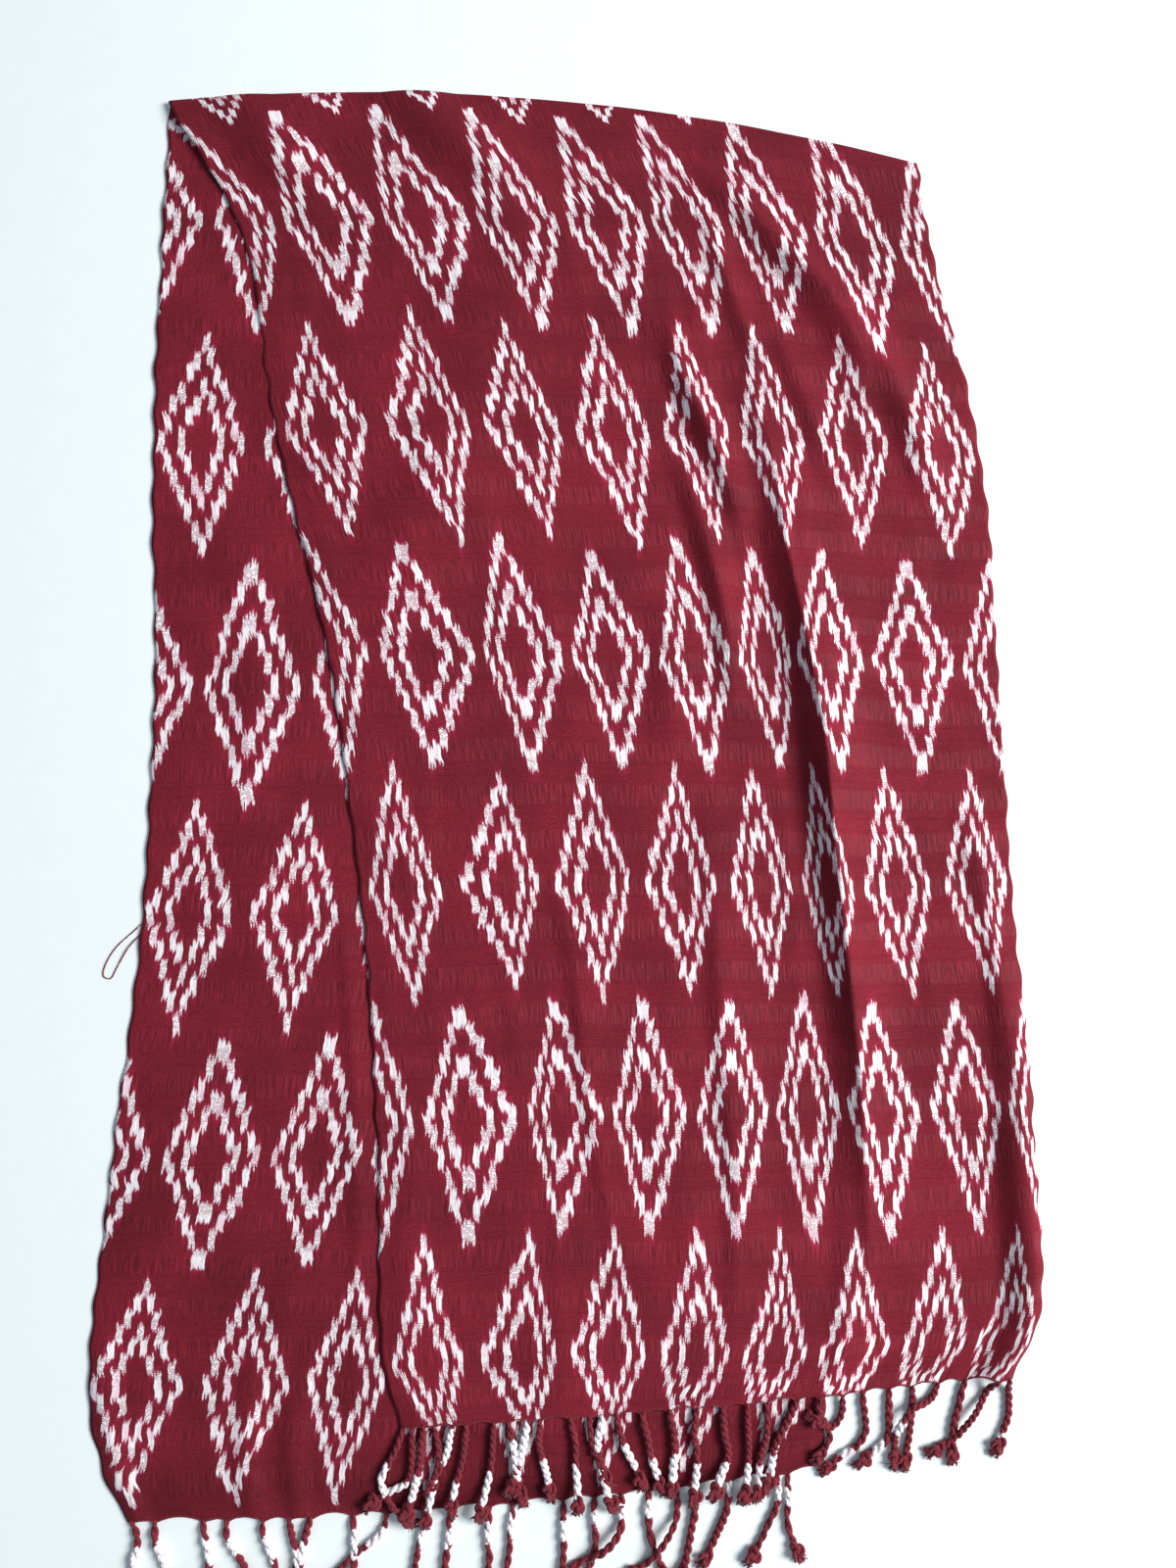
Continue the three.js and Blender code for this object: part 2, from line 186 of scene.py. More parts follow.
# (along, row) of the two families of diamonds; along counts down on the lower half.
WHOLE_ROWS = (
    (-979, -3.70), (-830, -3.33), (-727, -3), (-410, -2), (-90, -1), (-20, -0.74), (14, -0.25), (90, 0),
    (400, 1), (714, 2), (915, 2.645),
)
HALF_ROWS = (
    (-979, -3.28), (-888, -3), (-568, -2), (-244, -1), (-155, -0.71), (-52, -0.29), (-14, 0),
    (24, 0.29), (151, 0.71), (241, 1), (556, 2), (862, 3), (915, 3.17),
)
# The weave lies askew: slip is how far it has slid up the cloth at each stop of the width.
UPPER_SKEW = (
    dict(along=0, slip=(0, 0, 6, 4, 3, 10, 18, 23, 32)),
    dict(along=90, slip=(5, 6, 7, 0, 0, 2, 0, -5, -8)),
    dict(along=241, slip=(-4, -1, 2, 0, 1, 2, 0, -3, -4)),
    dict(along=400, slip=(0, -2, 2, -1, 3, 3, 4, 0, 0)),
    dict(along=556, slip=(8, 7, 6, 4, 2, 0, -2, 0, 3)),
    dict(along=714, slip=(3, 2, 5, 1, 0, 2, -1, -1, -1)),
    dict(along=862, slip=(-4, -3, -1, -6, -11, -15, -17, -20, -18)),
    dict(along=915, slip=(-4, -3, -1, -6, -11, -15, -17, -20, -18)),
)
LOWER_SKEW = (
    dict(along=0, slip=(0, 0, 6, 4, 3, 10, 18, 23, 32)),
    dict(along=99, slip=(-3, -11, -6, 0, 0, 0, 0, 0, 0)),
    dict(along=250, slip=(0, 1, -3, 0, 0, 0, 0, 0, 0)),
    dict(along=410, slip=(6, 0, -2, 0, 0, 0, 0, 0, 0)),
    dict(along=727, slip=(0, 1, 1, 0, 0, 0, 0, 0, 0)),
    dict(along=979, slip=(0, 0, -3, -3, 0, 0, 0, 0, 0)),
)

BAND_PITCH = 30.2  # one ribbed and one puckered band of the weave
BAND_START = 0.45

# --- The fringe: one row for each strand ----------------------------------------------------------
# at: place of the root across the cloth; path: points (x, y) from the root to the knot;
# undyed: stretch of the strand, from its root, that the dye didn't reach.
UPPER_STRANDS = (
    dict(at=3, path=((-11, -26), (-15, -37), (-10, -48), (-1, -56)), undyed=(27, 48)),
    dict(at=9, path=((1, -20), (-3, -36), (-14, -42), (-22, -47)), undyed=(38, 54)),
    dict(at=18, path=((-2, -28), (-9, -51)), undyed=(33, 50)),
    dict(at=26, path=((4, -19), (1, -35), (-3, -56)), undyed=(36, 56)),
    dict(at=41, path=((-5, -22), (-13, -37)), undyed=(2, 26)),
    dict(at=52, path=((-2, -20), (-6, -35), (-8, -49)), undyed=(36, 49)),
    dict(at=73, path=((-1, -20), (-4, -36), (-8, -53)), undyed=(32, 53)),
    dict(at=84, path=((5, -22), (8, -44)), undyed=(14, 40)),
    dict(at=99, path=((-3, -20), (-10, -40)), undyed=(3, 28)),
    dict(at=109, path=((-1, -12), (1, -26), (6, -43)), undyed=(27, 43)),
    dict(at=132, path=((3, -18), (4, -33), (5, -51)), undyed=(31, 51)),
    dict(at=146, path=((4, -21), (9, -37), (14, -51)), undyed=(34, 53)),
    dict(at=157, path=((-3, -22), (1, -38)), undyed=(2, 24)),
    dict(at=167, path=((5, -20), (15, -39)), undyed=(21, 40)),
    dict(at=187, path=((3, -15), (6, -28), (11, -43)), undyed=(29, 44)),
    dict(at=208, path=((3, -15), (3, -30), (1, -46)), undyed=(30, 46)),
    dict(at=230, path=((-2, -16), (0, -33), (-2, -52)), undyed=(37, 53)),
    dict(at=250, path=((1, -17), (3, -33), (-4, -50)), undyed=(36, 51)),
    dict(at=270, path=((0, -16), (1, -33), (-2, -53)), undyed=(40, 54)),
    dict(at=286, path=((-1, -23), (-5, -37), (-7, -54)), undyed=(40, 56)),
    dict(at=311, path=((-7, -15), (-15, -31), (-20, -50)), undyed=(38, 54)),
    dict(at=330, path=((-2, -10), (4, -21), (5, -29), (0, -36)), undyed=None),
    dict(at=347, path=((-1, -13), (-7, -22), (-14, -19)), undyed=None),
    dict(at=364, path=((0, -15), (1, -27), (-5, -36), (-16, -43), (-21, -47)), undyed=(40, 50)),
    dict(at=386, path=((0, -20), (-2, -33), (-15, -44)), undyed=(37, 48)),
    dict(at=406, path=((-1, -22), (-5, -45)), undyed=None),
    dict(at=430, path=((-7, -11), (-20, -16), (-29, -31), (-31, -46)), undyed=(36, 46), lift=5),
    dict(at=456, path=((-4, -16), (-7, -29), (-9, -44)), undyed=None),
    dict(at=489, path=((-10, -16), (-22, -31), (-30, -41), (-38, -46)), undyed=None, lift=4),
    dict(at=501, path=((2, -14), (1, -29), (-5, -42)), undyed=(40, 44)),
)
LOWER_STRANDS = (
    dict(at=3, path=((4, -10), (3, -25), (1, -50)), undyed=(18, 38)),
    dict(at=20, path=((2, -12), (6, -23), (15, -47)), undyed=(15, 33)),
    dict(at=55, path=((2, -9), (5, -19), (6, -31), (4, -50)), undyed=(12, 28)),
    dict(at=73, path=((0, -10), (8, -23), (13, -31), (19, -47)), undyed=(14, 26)),
    dict(at=100, path=((0, -9), (4, -20), (9, -32), (13, -49)), undyed=(13, 30)),
    dict(at=118, path=((3, -12), (6, -26), (2, -49)), undyed=(19, 33)),
    dict(at=135, path=((-3, -10), (-6, -21), (-8, -29), (-13, -50)), undyed=(17, 29)),
    dict(at=165, path=((1, -9), (2, -23), (3, -49)), undyed=(11, 30)),
    dict(at=190, path=((-3, -13), (-20, -26), (-36, -41)), undyed=(10, 26)),
    dict(at=217, path=((-2, -19), (-5, -30), (-7, -49)), undyed=(8, 22)),
    dict(at=237, path=((-2, -20), (-3, -34), (-5, -50)), undyed=(10, 24)),
    dict(at=265, path=((0, -26), (0, -50)), undyed=(12, 26)),
    dict(at=282, path=((-1, -23), (-5, -50)), undyed=(8, 20)),
    dict(at=319, path=((0, -23), (0, -49)), undyed=(13, 26)),
    dict(at=342, path=((0, -18), (1, -31), (-5, -52)), undyed=(9, 18)),
    dict(at=362, path=((-1, -21), (-10, -33), (-26, -43), (-33, -48)), undyed=(7, 17), lift=5),
    dict(at=382, path=((0, -21), (3, -35), (9, -50)), undyed=(6, 15)),
    dict(at=402, path=((0, -18), (-9, -34), (-17, -46), (-28, -53)), undyed=None, lift=5),
    dict(at=415, path=((0, -18), (-3, -36), (-7, -52)), undyed=None),
    dict(at=441, path=((-3, -20), (-9, -34), (-15, -46)), undyed=(0, 8)),
    dict(at=476, path=((0, -18), (-7, -34), (-15, -48)), undyed=(7, 17)),
    dict(at=484, path=((-1, -18), (-1, -33), (4, -46)), undyed=(9, 18)),
)
PLY_RADIUS = 1.52
PLY_ORBIT = 1.2  # how far each ply winds from the strand's own line
PLY_FLATTENING = 0.85
PLY_SIDES = 8
THREAD_SIDES = 6
YARN_END_SIDES = 5
PLY_UNEVEN = 0.13
UPPER_TWIST_PITCH = 10.5
LOWER_TWIST_PITCH = 13.5
PITCH_SHARE = (0.85, 1.25)  # of a strand's pitch and of its thickness, each strand between the two
THICKNESS_SHARE = (0.86, 1.08)
TWIST_UNEVEN = 0.22
STRAND_STEP = 1.25
ROOT_INSET = 2.5  # a strand starts this far inside the hem
ROOT_SLIMNESS = 0.72  # its thickness there, and the length over which it fills out
ROOT_LENGTH = 9.0
SETTLING = 12.0  # length over which a strand comes down from the hem to what it lies on
FLOOR_SMOOTHING = 9  # steps of a strand that the height of what it lies on is averaged over
LIFT_START = 0.25  # a strand's lift: the share of its length before it, and the share that it takes
LIFT_LENGTH = 0.60
SWAY = 0.9
UNDYED_SWELL = 0.12  # undyed yarn is a little thicker
DYE_EDGE = 3.0
DYE_LAG = 2.5  # on each ply the dye's edge is up to this far off
# What the strands lie on: the height of the table, the lower half's cloth and the lower fringe.
UPPER_ON_TABLE = 0.3
UPPER_ON_CLOTH = 1.9
UPPER_ON_FRINGE = 5.2
LOWER_ON_TABLE = 0.2
PAST_EDGE = 2.0  # how far past the lower half's right edge a strand is down on the table
BEFORE_HEM = 4.0  # and how far before its hem a strand climbs onto the lower fringe
# Unevenness along a strand: the length of a wave, and the numbers that give each strand its seed.
YARN_WAVES = dict(
    sway=dict(length=16, factor=7, seeds=50, first=40),
    twist=dict(length=21, factor=5, seeds=50, first=120),
    ply=dict(length=9, factor=11, seeds=60, first=200),
)

# The hem is drawn back in an arch between each two strands.
HEM_ARCH = 3.1
HEM_ARCH_DEPTH = 16.0
HEM_ARCH_GAP = 22.0  # gap between strands that gives a full arch
HEM_ARCH_LIMITS = (0.3, 1.3)  # share of it over a narrow gap and over a wide one
HEM_ARCH_FULLNESS = 0.7
HEM_END_GAP = 8.0  # the arches at the ends reach this far past the selvedges

# A knot: its size, then sizes for a knot of size 1.
KNOT_SIZE = (3.7, 4.6)
KNOT_FORM = (0.92, 1.12, 0.8)
KNOT_LOOP = 0.33
KNOT_PLY = 0.34
KNOT_PLY_UNEVEN = 0.12
KNOT_PLY_LIFT = 0.11  # the plies lie this far above and below the knot's own line
KNOT_PLY_SPREAD = 0.12  # and are this share wider and narrower than it
KNOT_CORE = 0.62
KNOT_CORE_REACH = 0.9
KNOT_PLACE = 0.8  # of its middle beyond the strand's end, and above what it lies on
KNOT_STEPS = 42

# Yarn ends beyond a knot: how many, their thickness, their length and how far they spread.
TUFT_ENDS = (
    dict(count=20, thick=(0.7, 1.2), length=(2.8, 6.0), spread=0.16),
    dict(count=4, thick=(0.22, 0.34), length=(4, 7.5), spread=0.4),
)
YARN_END_STEPS = 6
TUFT_PLACE = 0.9  # where it starts beyond the knot's middle, and its width, for a knot of size 1
TUFT_WIDTH = 0.5
TUFT_TURN = 0.15  # how far a tuft may turn from its strand's heading, in radians
TUFT_FAN = 0.25
TUFT_CURL = 0.3
TUFT_HEIGHTS = (-1.6, 1.3)  # of the yarn ends at their start, from the knot's middle
TUFT_END_HEIGHT = 1.4
TUFT_DROOP = 0.5  # share of the way down to that height that they droop
TUFT_CLEARANCE = 0.1
TUFT_TAPER = 0.55

# The thread that holds the last picks at each hem.
LOCK_THREAD_INSET = 0.8
LOCK_THREAD_RADIUS = 0.75
LOCK_THREAD_UNEVEN = 0.15
LOCK_THREAD_WAVE = 2.1
LOCK_THREAD_STEPS = 240

# A loose thread by the left selvedge: points (x, y, z) of its long loop.
LOOSE_THREAD = (
    (-287, -58, 1.5), (-296, -66, 0.6), (-308, -77, 0.5), (-315, -88, 0.5), (-317, -97, 0.5),
    (-312, -99, 0.5), (-308, -92, 0.5), (-300, -78, 1.2), (-290, -66, 0.6), (-284, -55, 1.5),
)
LOOSE_THREAD_RADIUS = 0.42
LOOSE_THREAD_STEP = 1.5
LOOSE_THREAD_UNDYED = 0.25  # share of it that the dye didn't reach, spread evenly

# --- Random numbers -------------------------------------------------------------------------------
SEED = 20
SEED_STEP = 1.618  # from one strand's own seed to the next
NOISE_CELLS = 96  # size of the table that soft noise is read from, and where its reading starts
NOISE_ORIGIN = (30, 40)


# --- Reading the tables ---------------------------------------------------------------------------
def ease(value):
    """0 to 1 with a soft start and end."""
    return 0.5 - 0.5 * np.cos(math.pi * np.clip(value, 0, 1))


def smooth_read(knots, values, query):
    """Values along the first axis, read at the query places by a smooth curve through the knots."""
    knots = np.asarray(knots, float)
    values = np.asarray(values, float)
    query = np.asarray(query, float)
    last = len(knots) - 1
    before = np.maximum(np.arange(last + 1) - 1, 0)
    after = np.minimum(np.arange(last + 1) + 1, last)
    spread = (knots[after] - knots[before]).reshape((-1,) + (1,) * (values.ndim - 1))
    slope = (values[after] - values[before]) / spread
    low = np.clip(np.searchsorted(knots, query, side="right") - 1, 0, last - 1)
    shape = query.shape + (1,) * (values.ndim - 1)
    span = (knots[low + 1] - knots[low]).reshape(shape)
    t = ((query - knots[low]) / (knots[low + 1] - knots[low])).reshape(shape)
    rise = values[low] + (values[low + 1] - values[low]) * (3 * t**2 - 2 * t**3)
    return rise + span * (t * (1 - t) ** 2 * slope[low] + t**2 * (t - 1) * slope[low + 1])


def column_of(table, name):
    return [row[name] for row in table]


def soft_noise(across, along, cell_across, cell_along, seed):
    """Smooth random heights from -1 to 1 on a grid of cells."""
    table = np.random.default_rng(SEED + seed).uniform(-1, 1, (NOISE_CELLS, NOISE_CELLS))
    u = np.asarray(across) / cell_across + NOISE_ORIGIN[0]
    v = np.asarray(along) / cell_along + NOISE_ORIGIN[1]
    column, row = np.floor(u).astype(int), np.floor(v).astype(int)
    s, t = ease(u - column), ease(v - row)

    def corner(right, up):
        return table[(row + up) % NOISE_CELLS, (column + right) % NOISE_CELLS]

    near = corner(0, 0) * (1 - s) + corner(1, 0) * s
    far = corner(0, 1) * (1 - s) + corner(1, 1) * s
    return near * (1 - t) + far * t


def hills(name, across, along):
    return soft_noise(across, along, *HILLS[name])


def hem_arch(across, strands, along, length):
    """How far the hem is drawn back between two strands, fading out into the cloth."""
    roots = np.array([-HEM_END_GAP] + column_of(strands, "at") + [CLOTH_WIDTH + HEM_END_GAP])
    low = np.clip(np.searchsorted(roots, across, side="right") - 1, 0, len(roots) - 2)
    width = roots[low + 1] - roots[low]
    share = (across - roots[low]) / width
    arch = np.abs(np.sin(math.pi * np.clip(share, 0, 1))) ** HEM_ARCH_FULLNESS
    arch = arch * np.clip(width / HEM_ARCH_GAP, *HEM_ARCH_LIMITS)
    return HEM_ARCH * arch * ease((along - (length - HEM_ARCH_DEPTH)) / HEM_ARCH_DEPTH)


def selvedge_scallop(across, along):
    """The selvedges swell a little at each puckered band and draw in at each ribbed one."""
    wave = SCALLOP * np.cos(2 * math.pi * (along / BAND_PITCH - BAND_START))
    wave = wave + SCALLOP * hills("scallop", 0 * along, along)
    left = ease(1 - across / SCALLOP_REACH)
    right = ease((across - CLOTH_WIDTH + SCALLOP_REACH) / SCALLOP_REACH)
    return wave * (right - left)


def read_lines(table, name, rows):
    """One column of a table of lines, read at each row of a grid."""
    return smooth_read(column_of(table, "along"), column_of(table, name), rows)[:, None]


def line_y(table, rows, share):
    """The y of a bowed line, at a share of the way from its left end to its right end."""
    left, right = read_lines(table, "left_y", rows), read_lines(table, "right_y", rows)
    return left + (right - left) * share + read_lines(table, "bow", rows) * 4 * share * (1 - share)


def upper_plan(across, along):
    """Place in plan of points of the upper half; across and along are grids of the same shape."""
    rows = along[:, 0]
    stops = smooth_read(column_of(UPPER_LINES, "along"), column_of(UPPER_LINES, "x"), rows)
    x = smooth_read(WIDTH_STOPS, stops.T, across[0]).T
    share = (x - stops[:, :1]) / (stops[:, -1:] - stops[:, :1])
    return x, line_y(UPPER_LINES, rows, share)


def lower_plan(across, along):
    rows = along[:, 0]
    share = across / CLOTH_WIDTH
    left, right = read_lines(LOWER_LINES, "left_x", rows), read_lines(LOWER_LINES, "right_x", rows)
    x = left + (right - left) * share
    return x, line_y(LOWER_LINES, rows, share)


def skew(table, across, along):
    """How far the weave has slid up the cloth; across and along are grids of the same shape."""
    stops = smooth_read(column_of(table, "along"), column_of(table, "slip"), along[:, 0])
    return smooth_read(WIDTH_STOPS, stops.T, across[0]).T


def turned_under(across, along):
    """How much further over the columns lie near the lower half's end, as if it were turned under."""
    at_left = ease(1 - (across - TURNED_FROM) / TURNED_WIDTH)
    return ease((along - TURNED_START) / TURNED_LENGTH) * (TURNED_WHOLE + TURNED_LEFT * at_left)


def lower_right_edge(y):
    """The right selvedge of the lower half is close to a straight line."""
    top, end = LOWER_LINES[0], LOWER_LINES[-3]
    share = (top["right_y"] - y) / (top["right_y"] - end["right_y"])
    return top["right_x"] + (end["right_x"] - top["right_x"]) * share


def fold_height(fold, across, along):
    """Height of one drape fold, which starts and ends softly along its length."""
    places = [point[1] for point in fold["foot"]]
    crest = smooth_read(places, [point[0] for point in fold["foot"]], along) + fold["steep"] / 2
    share = np.clip((along - places[0]) / (places[-1] - places[0]), 0, 1)
    strength = np.sin(math.pi * share) ** FOLD_END
    reach = np.where(across < crest, fold["steep"], fold["gentle"])
    near = np.clip(1 - np.abs(across - crest) / reach, 0, 1)
    round_top = ease(near)
    creased = near**CREASE_POWER * (CREASE_FULLNESS + (1 - CREASE_FULLNESS) * near)
    return fold["height"] * strength * (round_top + (creased - round_top) * fold["crisp"])


def small_wrinkles(across, along, count, seed, top):
    """Short soft ridges along the warp, each of its own length, width and height."""
    random = np.random.default_rng(SEED + seed)
    height = np.zeros_like(across)
    for _ in range(count):
        middle_across = random.uniform(*WRINKLE_ACROSS)
        middle_along = random.uniform(*WRINKLE_ALONG)
        length = random.uniform(*WRINKLE_LENGTH)
        width = random.uniform(*WRINKLE_WIDTH)
        lean = random.uniform(*WRINKLE_LEAN)
        away = (across - middle_across - lean * (along - middle_along)) / width
        beyond = (along - middle_along) / length
        height += random.uniform(*WRINKLE_SHARE) * top * np.exp(-(away**2) - beyond**2 * WRINKLE_END)
    return height


def band_swell(across, along):
    """The puckered bands stand a little proud of the ribbed ones."""
    drift = BAND_DRIFT * hills("band_drift", across, along)
    wave = np.cos(2 * math.pi * ((along + drift) / BAND_PITCH - BAND_START))
    uneven = BAND_SWELL + BAND_UNEVEN * hills("band", across, along)
    return uneven * (0.5 + 0.5 * wave)


def upper_height(across, along):
    """The upper half lies on the lower one, drops to the table past it, and has the drape folds."""
    x, y = upper_plan(across, along)
    beyond = x - lower_right_edge(y) - DROP_START
    rest = (WALL + SEAM_GAP) * ease(1 - beyond / DROP_WIDTH) + WALL / 2
    turn_top = 2 * TURN_RADIUS - WALL / 2
    from_turn = (turn_top - WALL * 1.5 - SEAM_GAP) * ease(1 - along / TURN_SLOPE)
    height = rest + from_turn
    for fold in UPPER_FOLDS:
        height = height + fold_height(fold, across, along)
    lift = np.interp(along, *zip(*SELVEDGE_LIFT)) - SELVEDGE_DROP
    height += lift * ease(1 - across / SELVEDGE_LIFT_WIDTH)
    calm = ease(along / CALM_LENGTH) * (CALM_SHARE + (1 - CALM_SHARE) * ease(across / CALM_WIDTH))
    height += calm * small_wrinkles(across, along, **UPPER_WRINKLES)
    height += calm * UPPER_BAND_HEIGHT * band_swell(across, along)
    height += calm * UPPER_HILL_HEIGHT * (1 + hills("upper", across, along))
    height += calm * UPPER_WIDE_HILL_HEIGHT * (1 + hills("upper_wide", across, along))
    return height


def lower_height(across, along):
    """The lower half lies on the table; its open strip ripples more than its covered part."""
    hidden = ease((across - OPEN_STRIP - OPEN_STRIP_WIDENS * along) / HIDDEN_EASE)
    ripples = LOWER_BAND_HEIGHT * band_swell(across, along)
    ripples = ripples + small_wrinkles(across, along, **LOWER_WRINKLES)
    ripples = ripples + LOWER_HILL_HEIGHT * (1 + hills("lower", across, along))
    height = WALL / 2 + ripples * (1 - HIDDEN_CALM * hidden) * ease(along / CALM_LENGTH)
    for fold in LOWER_FOLDS:
        height = height + fold_height(fold, across, along)
    return height


# --- Building the cloth ---------------------------------------------------------------------------
UNDERSIDE_STEP = 4  # the underside has one face where the top has four by four
UPPER_CELLS = (50, 88)  # faces of the underside, across and along
LOWER_CELLS = (46, 88)


def grid_normals(points):
    across = np.gradient(points, axis=1)
    back = -np.gradient(points, axis=0)
    normal = np.cross(across, back)
    return normal / np.linalg.norm(normal, axis=2, keepdims=True)


def grid_faces(index):
    corners = [index[:-1, :-1], index[1:, :-1], index[1:, 1:], index[:-1, 1:]]
    return np.stack(corners, axis=-1).reshape(-1, 4)


def thin_shell(name, points, plan, chart, material):
    """A closed sheet of cloth round a grid of points, whose rows run from left to right."""
    rows, columns = points.shape[:2]
    normal = grid_normals(points)
    top = points + normal * CLOTH_THICKNESS / 2
    low_rows = np.arange(0, rows, UNDERSIDE_STEP)
    low_columns = np.arange(0, columns, UNDERSIDE_STEP)
    pick = np.ix_(low_rows, low_columns)
    under = (points - normal * CLOTH_THICKNESS / 2)[pick]
    top_index = np.arange(rows * columns).reshape(rows, columns)
    under_index = rows * columns + np.arange(under.shape[0] * under.shape[1]).reshape(under.shape[:2])
    faces = grid_faces(top_index).tolist() + grid_faces(under_index)[:, ::-1].tolist()
    rims = (
        (top_index[:, 0][::-1], under_index[:, 0][::-1]),
        (top_index[0], under_index[0]),
        (top_index[:, -1], under_index[:, -1]),
        (top_index[-1][::-1], under_index[-1][::-1]),
    )
    for upper_line, lower_line in rims:
        for step in range(len(lower_line) - 1):
            fine = upper_line[step * UNDERSIDE_STEP:(step + 1) * UNDERSIDE_STEP + 1].tolist()
            first, second = int(lower_line[step]), int(lower_line[step + 1])
            half = UNDERSIDE_STEP // 2
            for k in range(UNDERSIDE_STEP):
                faces.append((fine[k], fine[k + 1], first if k < half else second))
            faces.append((fine[half], second, first))
    vertices = np.concatenate([top.reshape(-1, 3), under.reshape(-1, 3)]) * MM
    maps = {
        "ClothPlan": np.concatenate([plan.reshape(-1, 2), plan[pick].reshape(-1, 2)]),
        "DiamondChart": np.concatenate([chart.reshape(-1, 2), chart[pick].reshape(-1, 2)]),
    }
    return make_piece(name, vertices, faces, maps, material)


def make_piece(name, vertices, faces, maps, material):
    mesh = bpy.data.meshes.new(name)
    mesh.from_pydata(np.asarray(vertices).tolist(), [], faces)
    mesh.update()
    corners = np.zeros(len(mesh.loops), np.int64)
    mesh.loops.foreach_get("vertex_index", corners)
    for map_name, values in maps.items():
        layer = mesh.uv_layers.new(name=map_name)
        layer.data.foreach_set("uv", np.asarray(values)[corners].astype(np.float32).ravel())
    mesh.polygons.foreach_set("use_smooth", np.ones(len(mesh.polygons), bool))
    mesh.materials.append(material)
    piece = bpy.data.objects.new(name, mesh)
    bpy.context.scene.collection.objects.link(piece)
    return piece


def pattern_maps(across, along, columns):
    """The plan of the pattern's columns in metres, and the rows of its two families."""
    column = np.interp(across, *zip(*columns))
    plan = np.stack([column * COLUMN_PITCH * MM, along * MM], axis=-1)
    whole = np.interp(along, *zip(*WHOLE_ROWS))
    half = np.interp(along, *zip(*HALF_ROWS))
    return plan, np.stack([whole, half], axis=-1)


def cloth_grid(cells, length):
    """Even places across and along one half, with so many cells of its underside each way."""
    across = np.linspace(0, CLOTH_WIDTH, cells[0] * UNDERSIDE_STEP + 1)
    along = np.linspace(0, length, cells[1] * UNDERSIDE_STEP + 1)
    return np.meshgrid(across, along)


def upper_half(material):
    """The upper half of the cloth with the turn at the fold."""
    across, along = cloth_grid(UPPER_CELLS, UPPER_LENGTH)
    x, y = upper_plan(across, along)
    z = upper_height(across, along)
    x = x + selvedge_scallop(across, along)
    y = y + hem_arch(across, UPPER_STRANDS, along, UPPER_LENGTH)
    flat = np.stack([x, y, z], axis=-1)
    turn_steps = 2 * UNDERSIDE_STEP
    angle = np.linspace(-math.pi / 2, math.pi / 2, turn_steps + 1)[:-1, None]
    middle = TURN_RADIUS - WALL / 2
    uneven = 1 + TURN_UNEVEN * hills("turn", across[:1], 0 * across[:1])
    turn_y = y[:1] + middle * np.cos(angle) * uneven
    turn_z = TURN_RADIUS + middle * np.sin(angle) + 0 * y[:1]
    turn = np.stack([np.repeat(x[:1], turn_steps, axis=0), turn_y, turn_z], axis=-1)
    printed = along + skew(UPPER_SKEW, across, along)
    turn_printed = np.linspace(-TURN_LENGTH, 0, turn_steps + 1)[:-1, None] + printed[:1]
    points = np.concatenate([turn, flat])
    whole_across = np.concatenate([np.repeat(across[:1], turn_steps, axis=0), across])
    plan, chart = pattern_maps(whole_across, np.concatenate([turn_printed, printed]), UPPER_COLUMNS)
    return thin_shell("UpperHalf", points, plan, chart, material)


def lower_half(material):
    across, along = cloth_grid(LOWER_CELLS, LOWER_LENGTH)
    x, y = lower_plan(across, along)
    z = lower_height(across, along)
    x = x + selvedge_scallop(across, along)
    y = y + hem_arch(across, LOWER_STRANDS, along, LOWER_LENGTH)
    points = np.stack([x, y, z], axis=-1)
    printed = -along + skew(LOWER_SKEW, across, along)
    plan, chart = pattern_maps(across + turned_under(across, along), printed, LOWER_COLUMNS)
    return thin_shell("LowerHalf", points, plan, chart, material)


# --- Building the fringe --------------------------------------------------------------------------
LOWEST = 0.05  # yarn flattens where it presses on the table
CURVE_POINTS = 160
FEWEST_POINTS = 4
AROUND_YARN = 0.01  # width of the yarn's map, once round


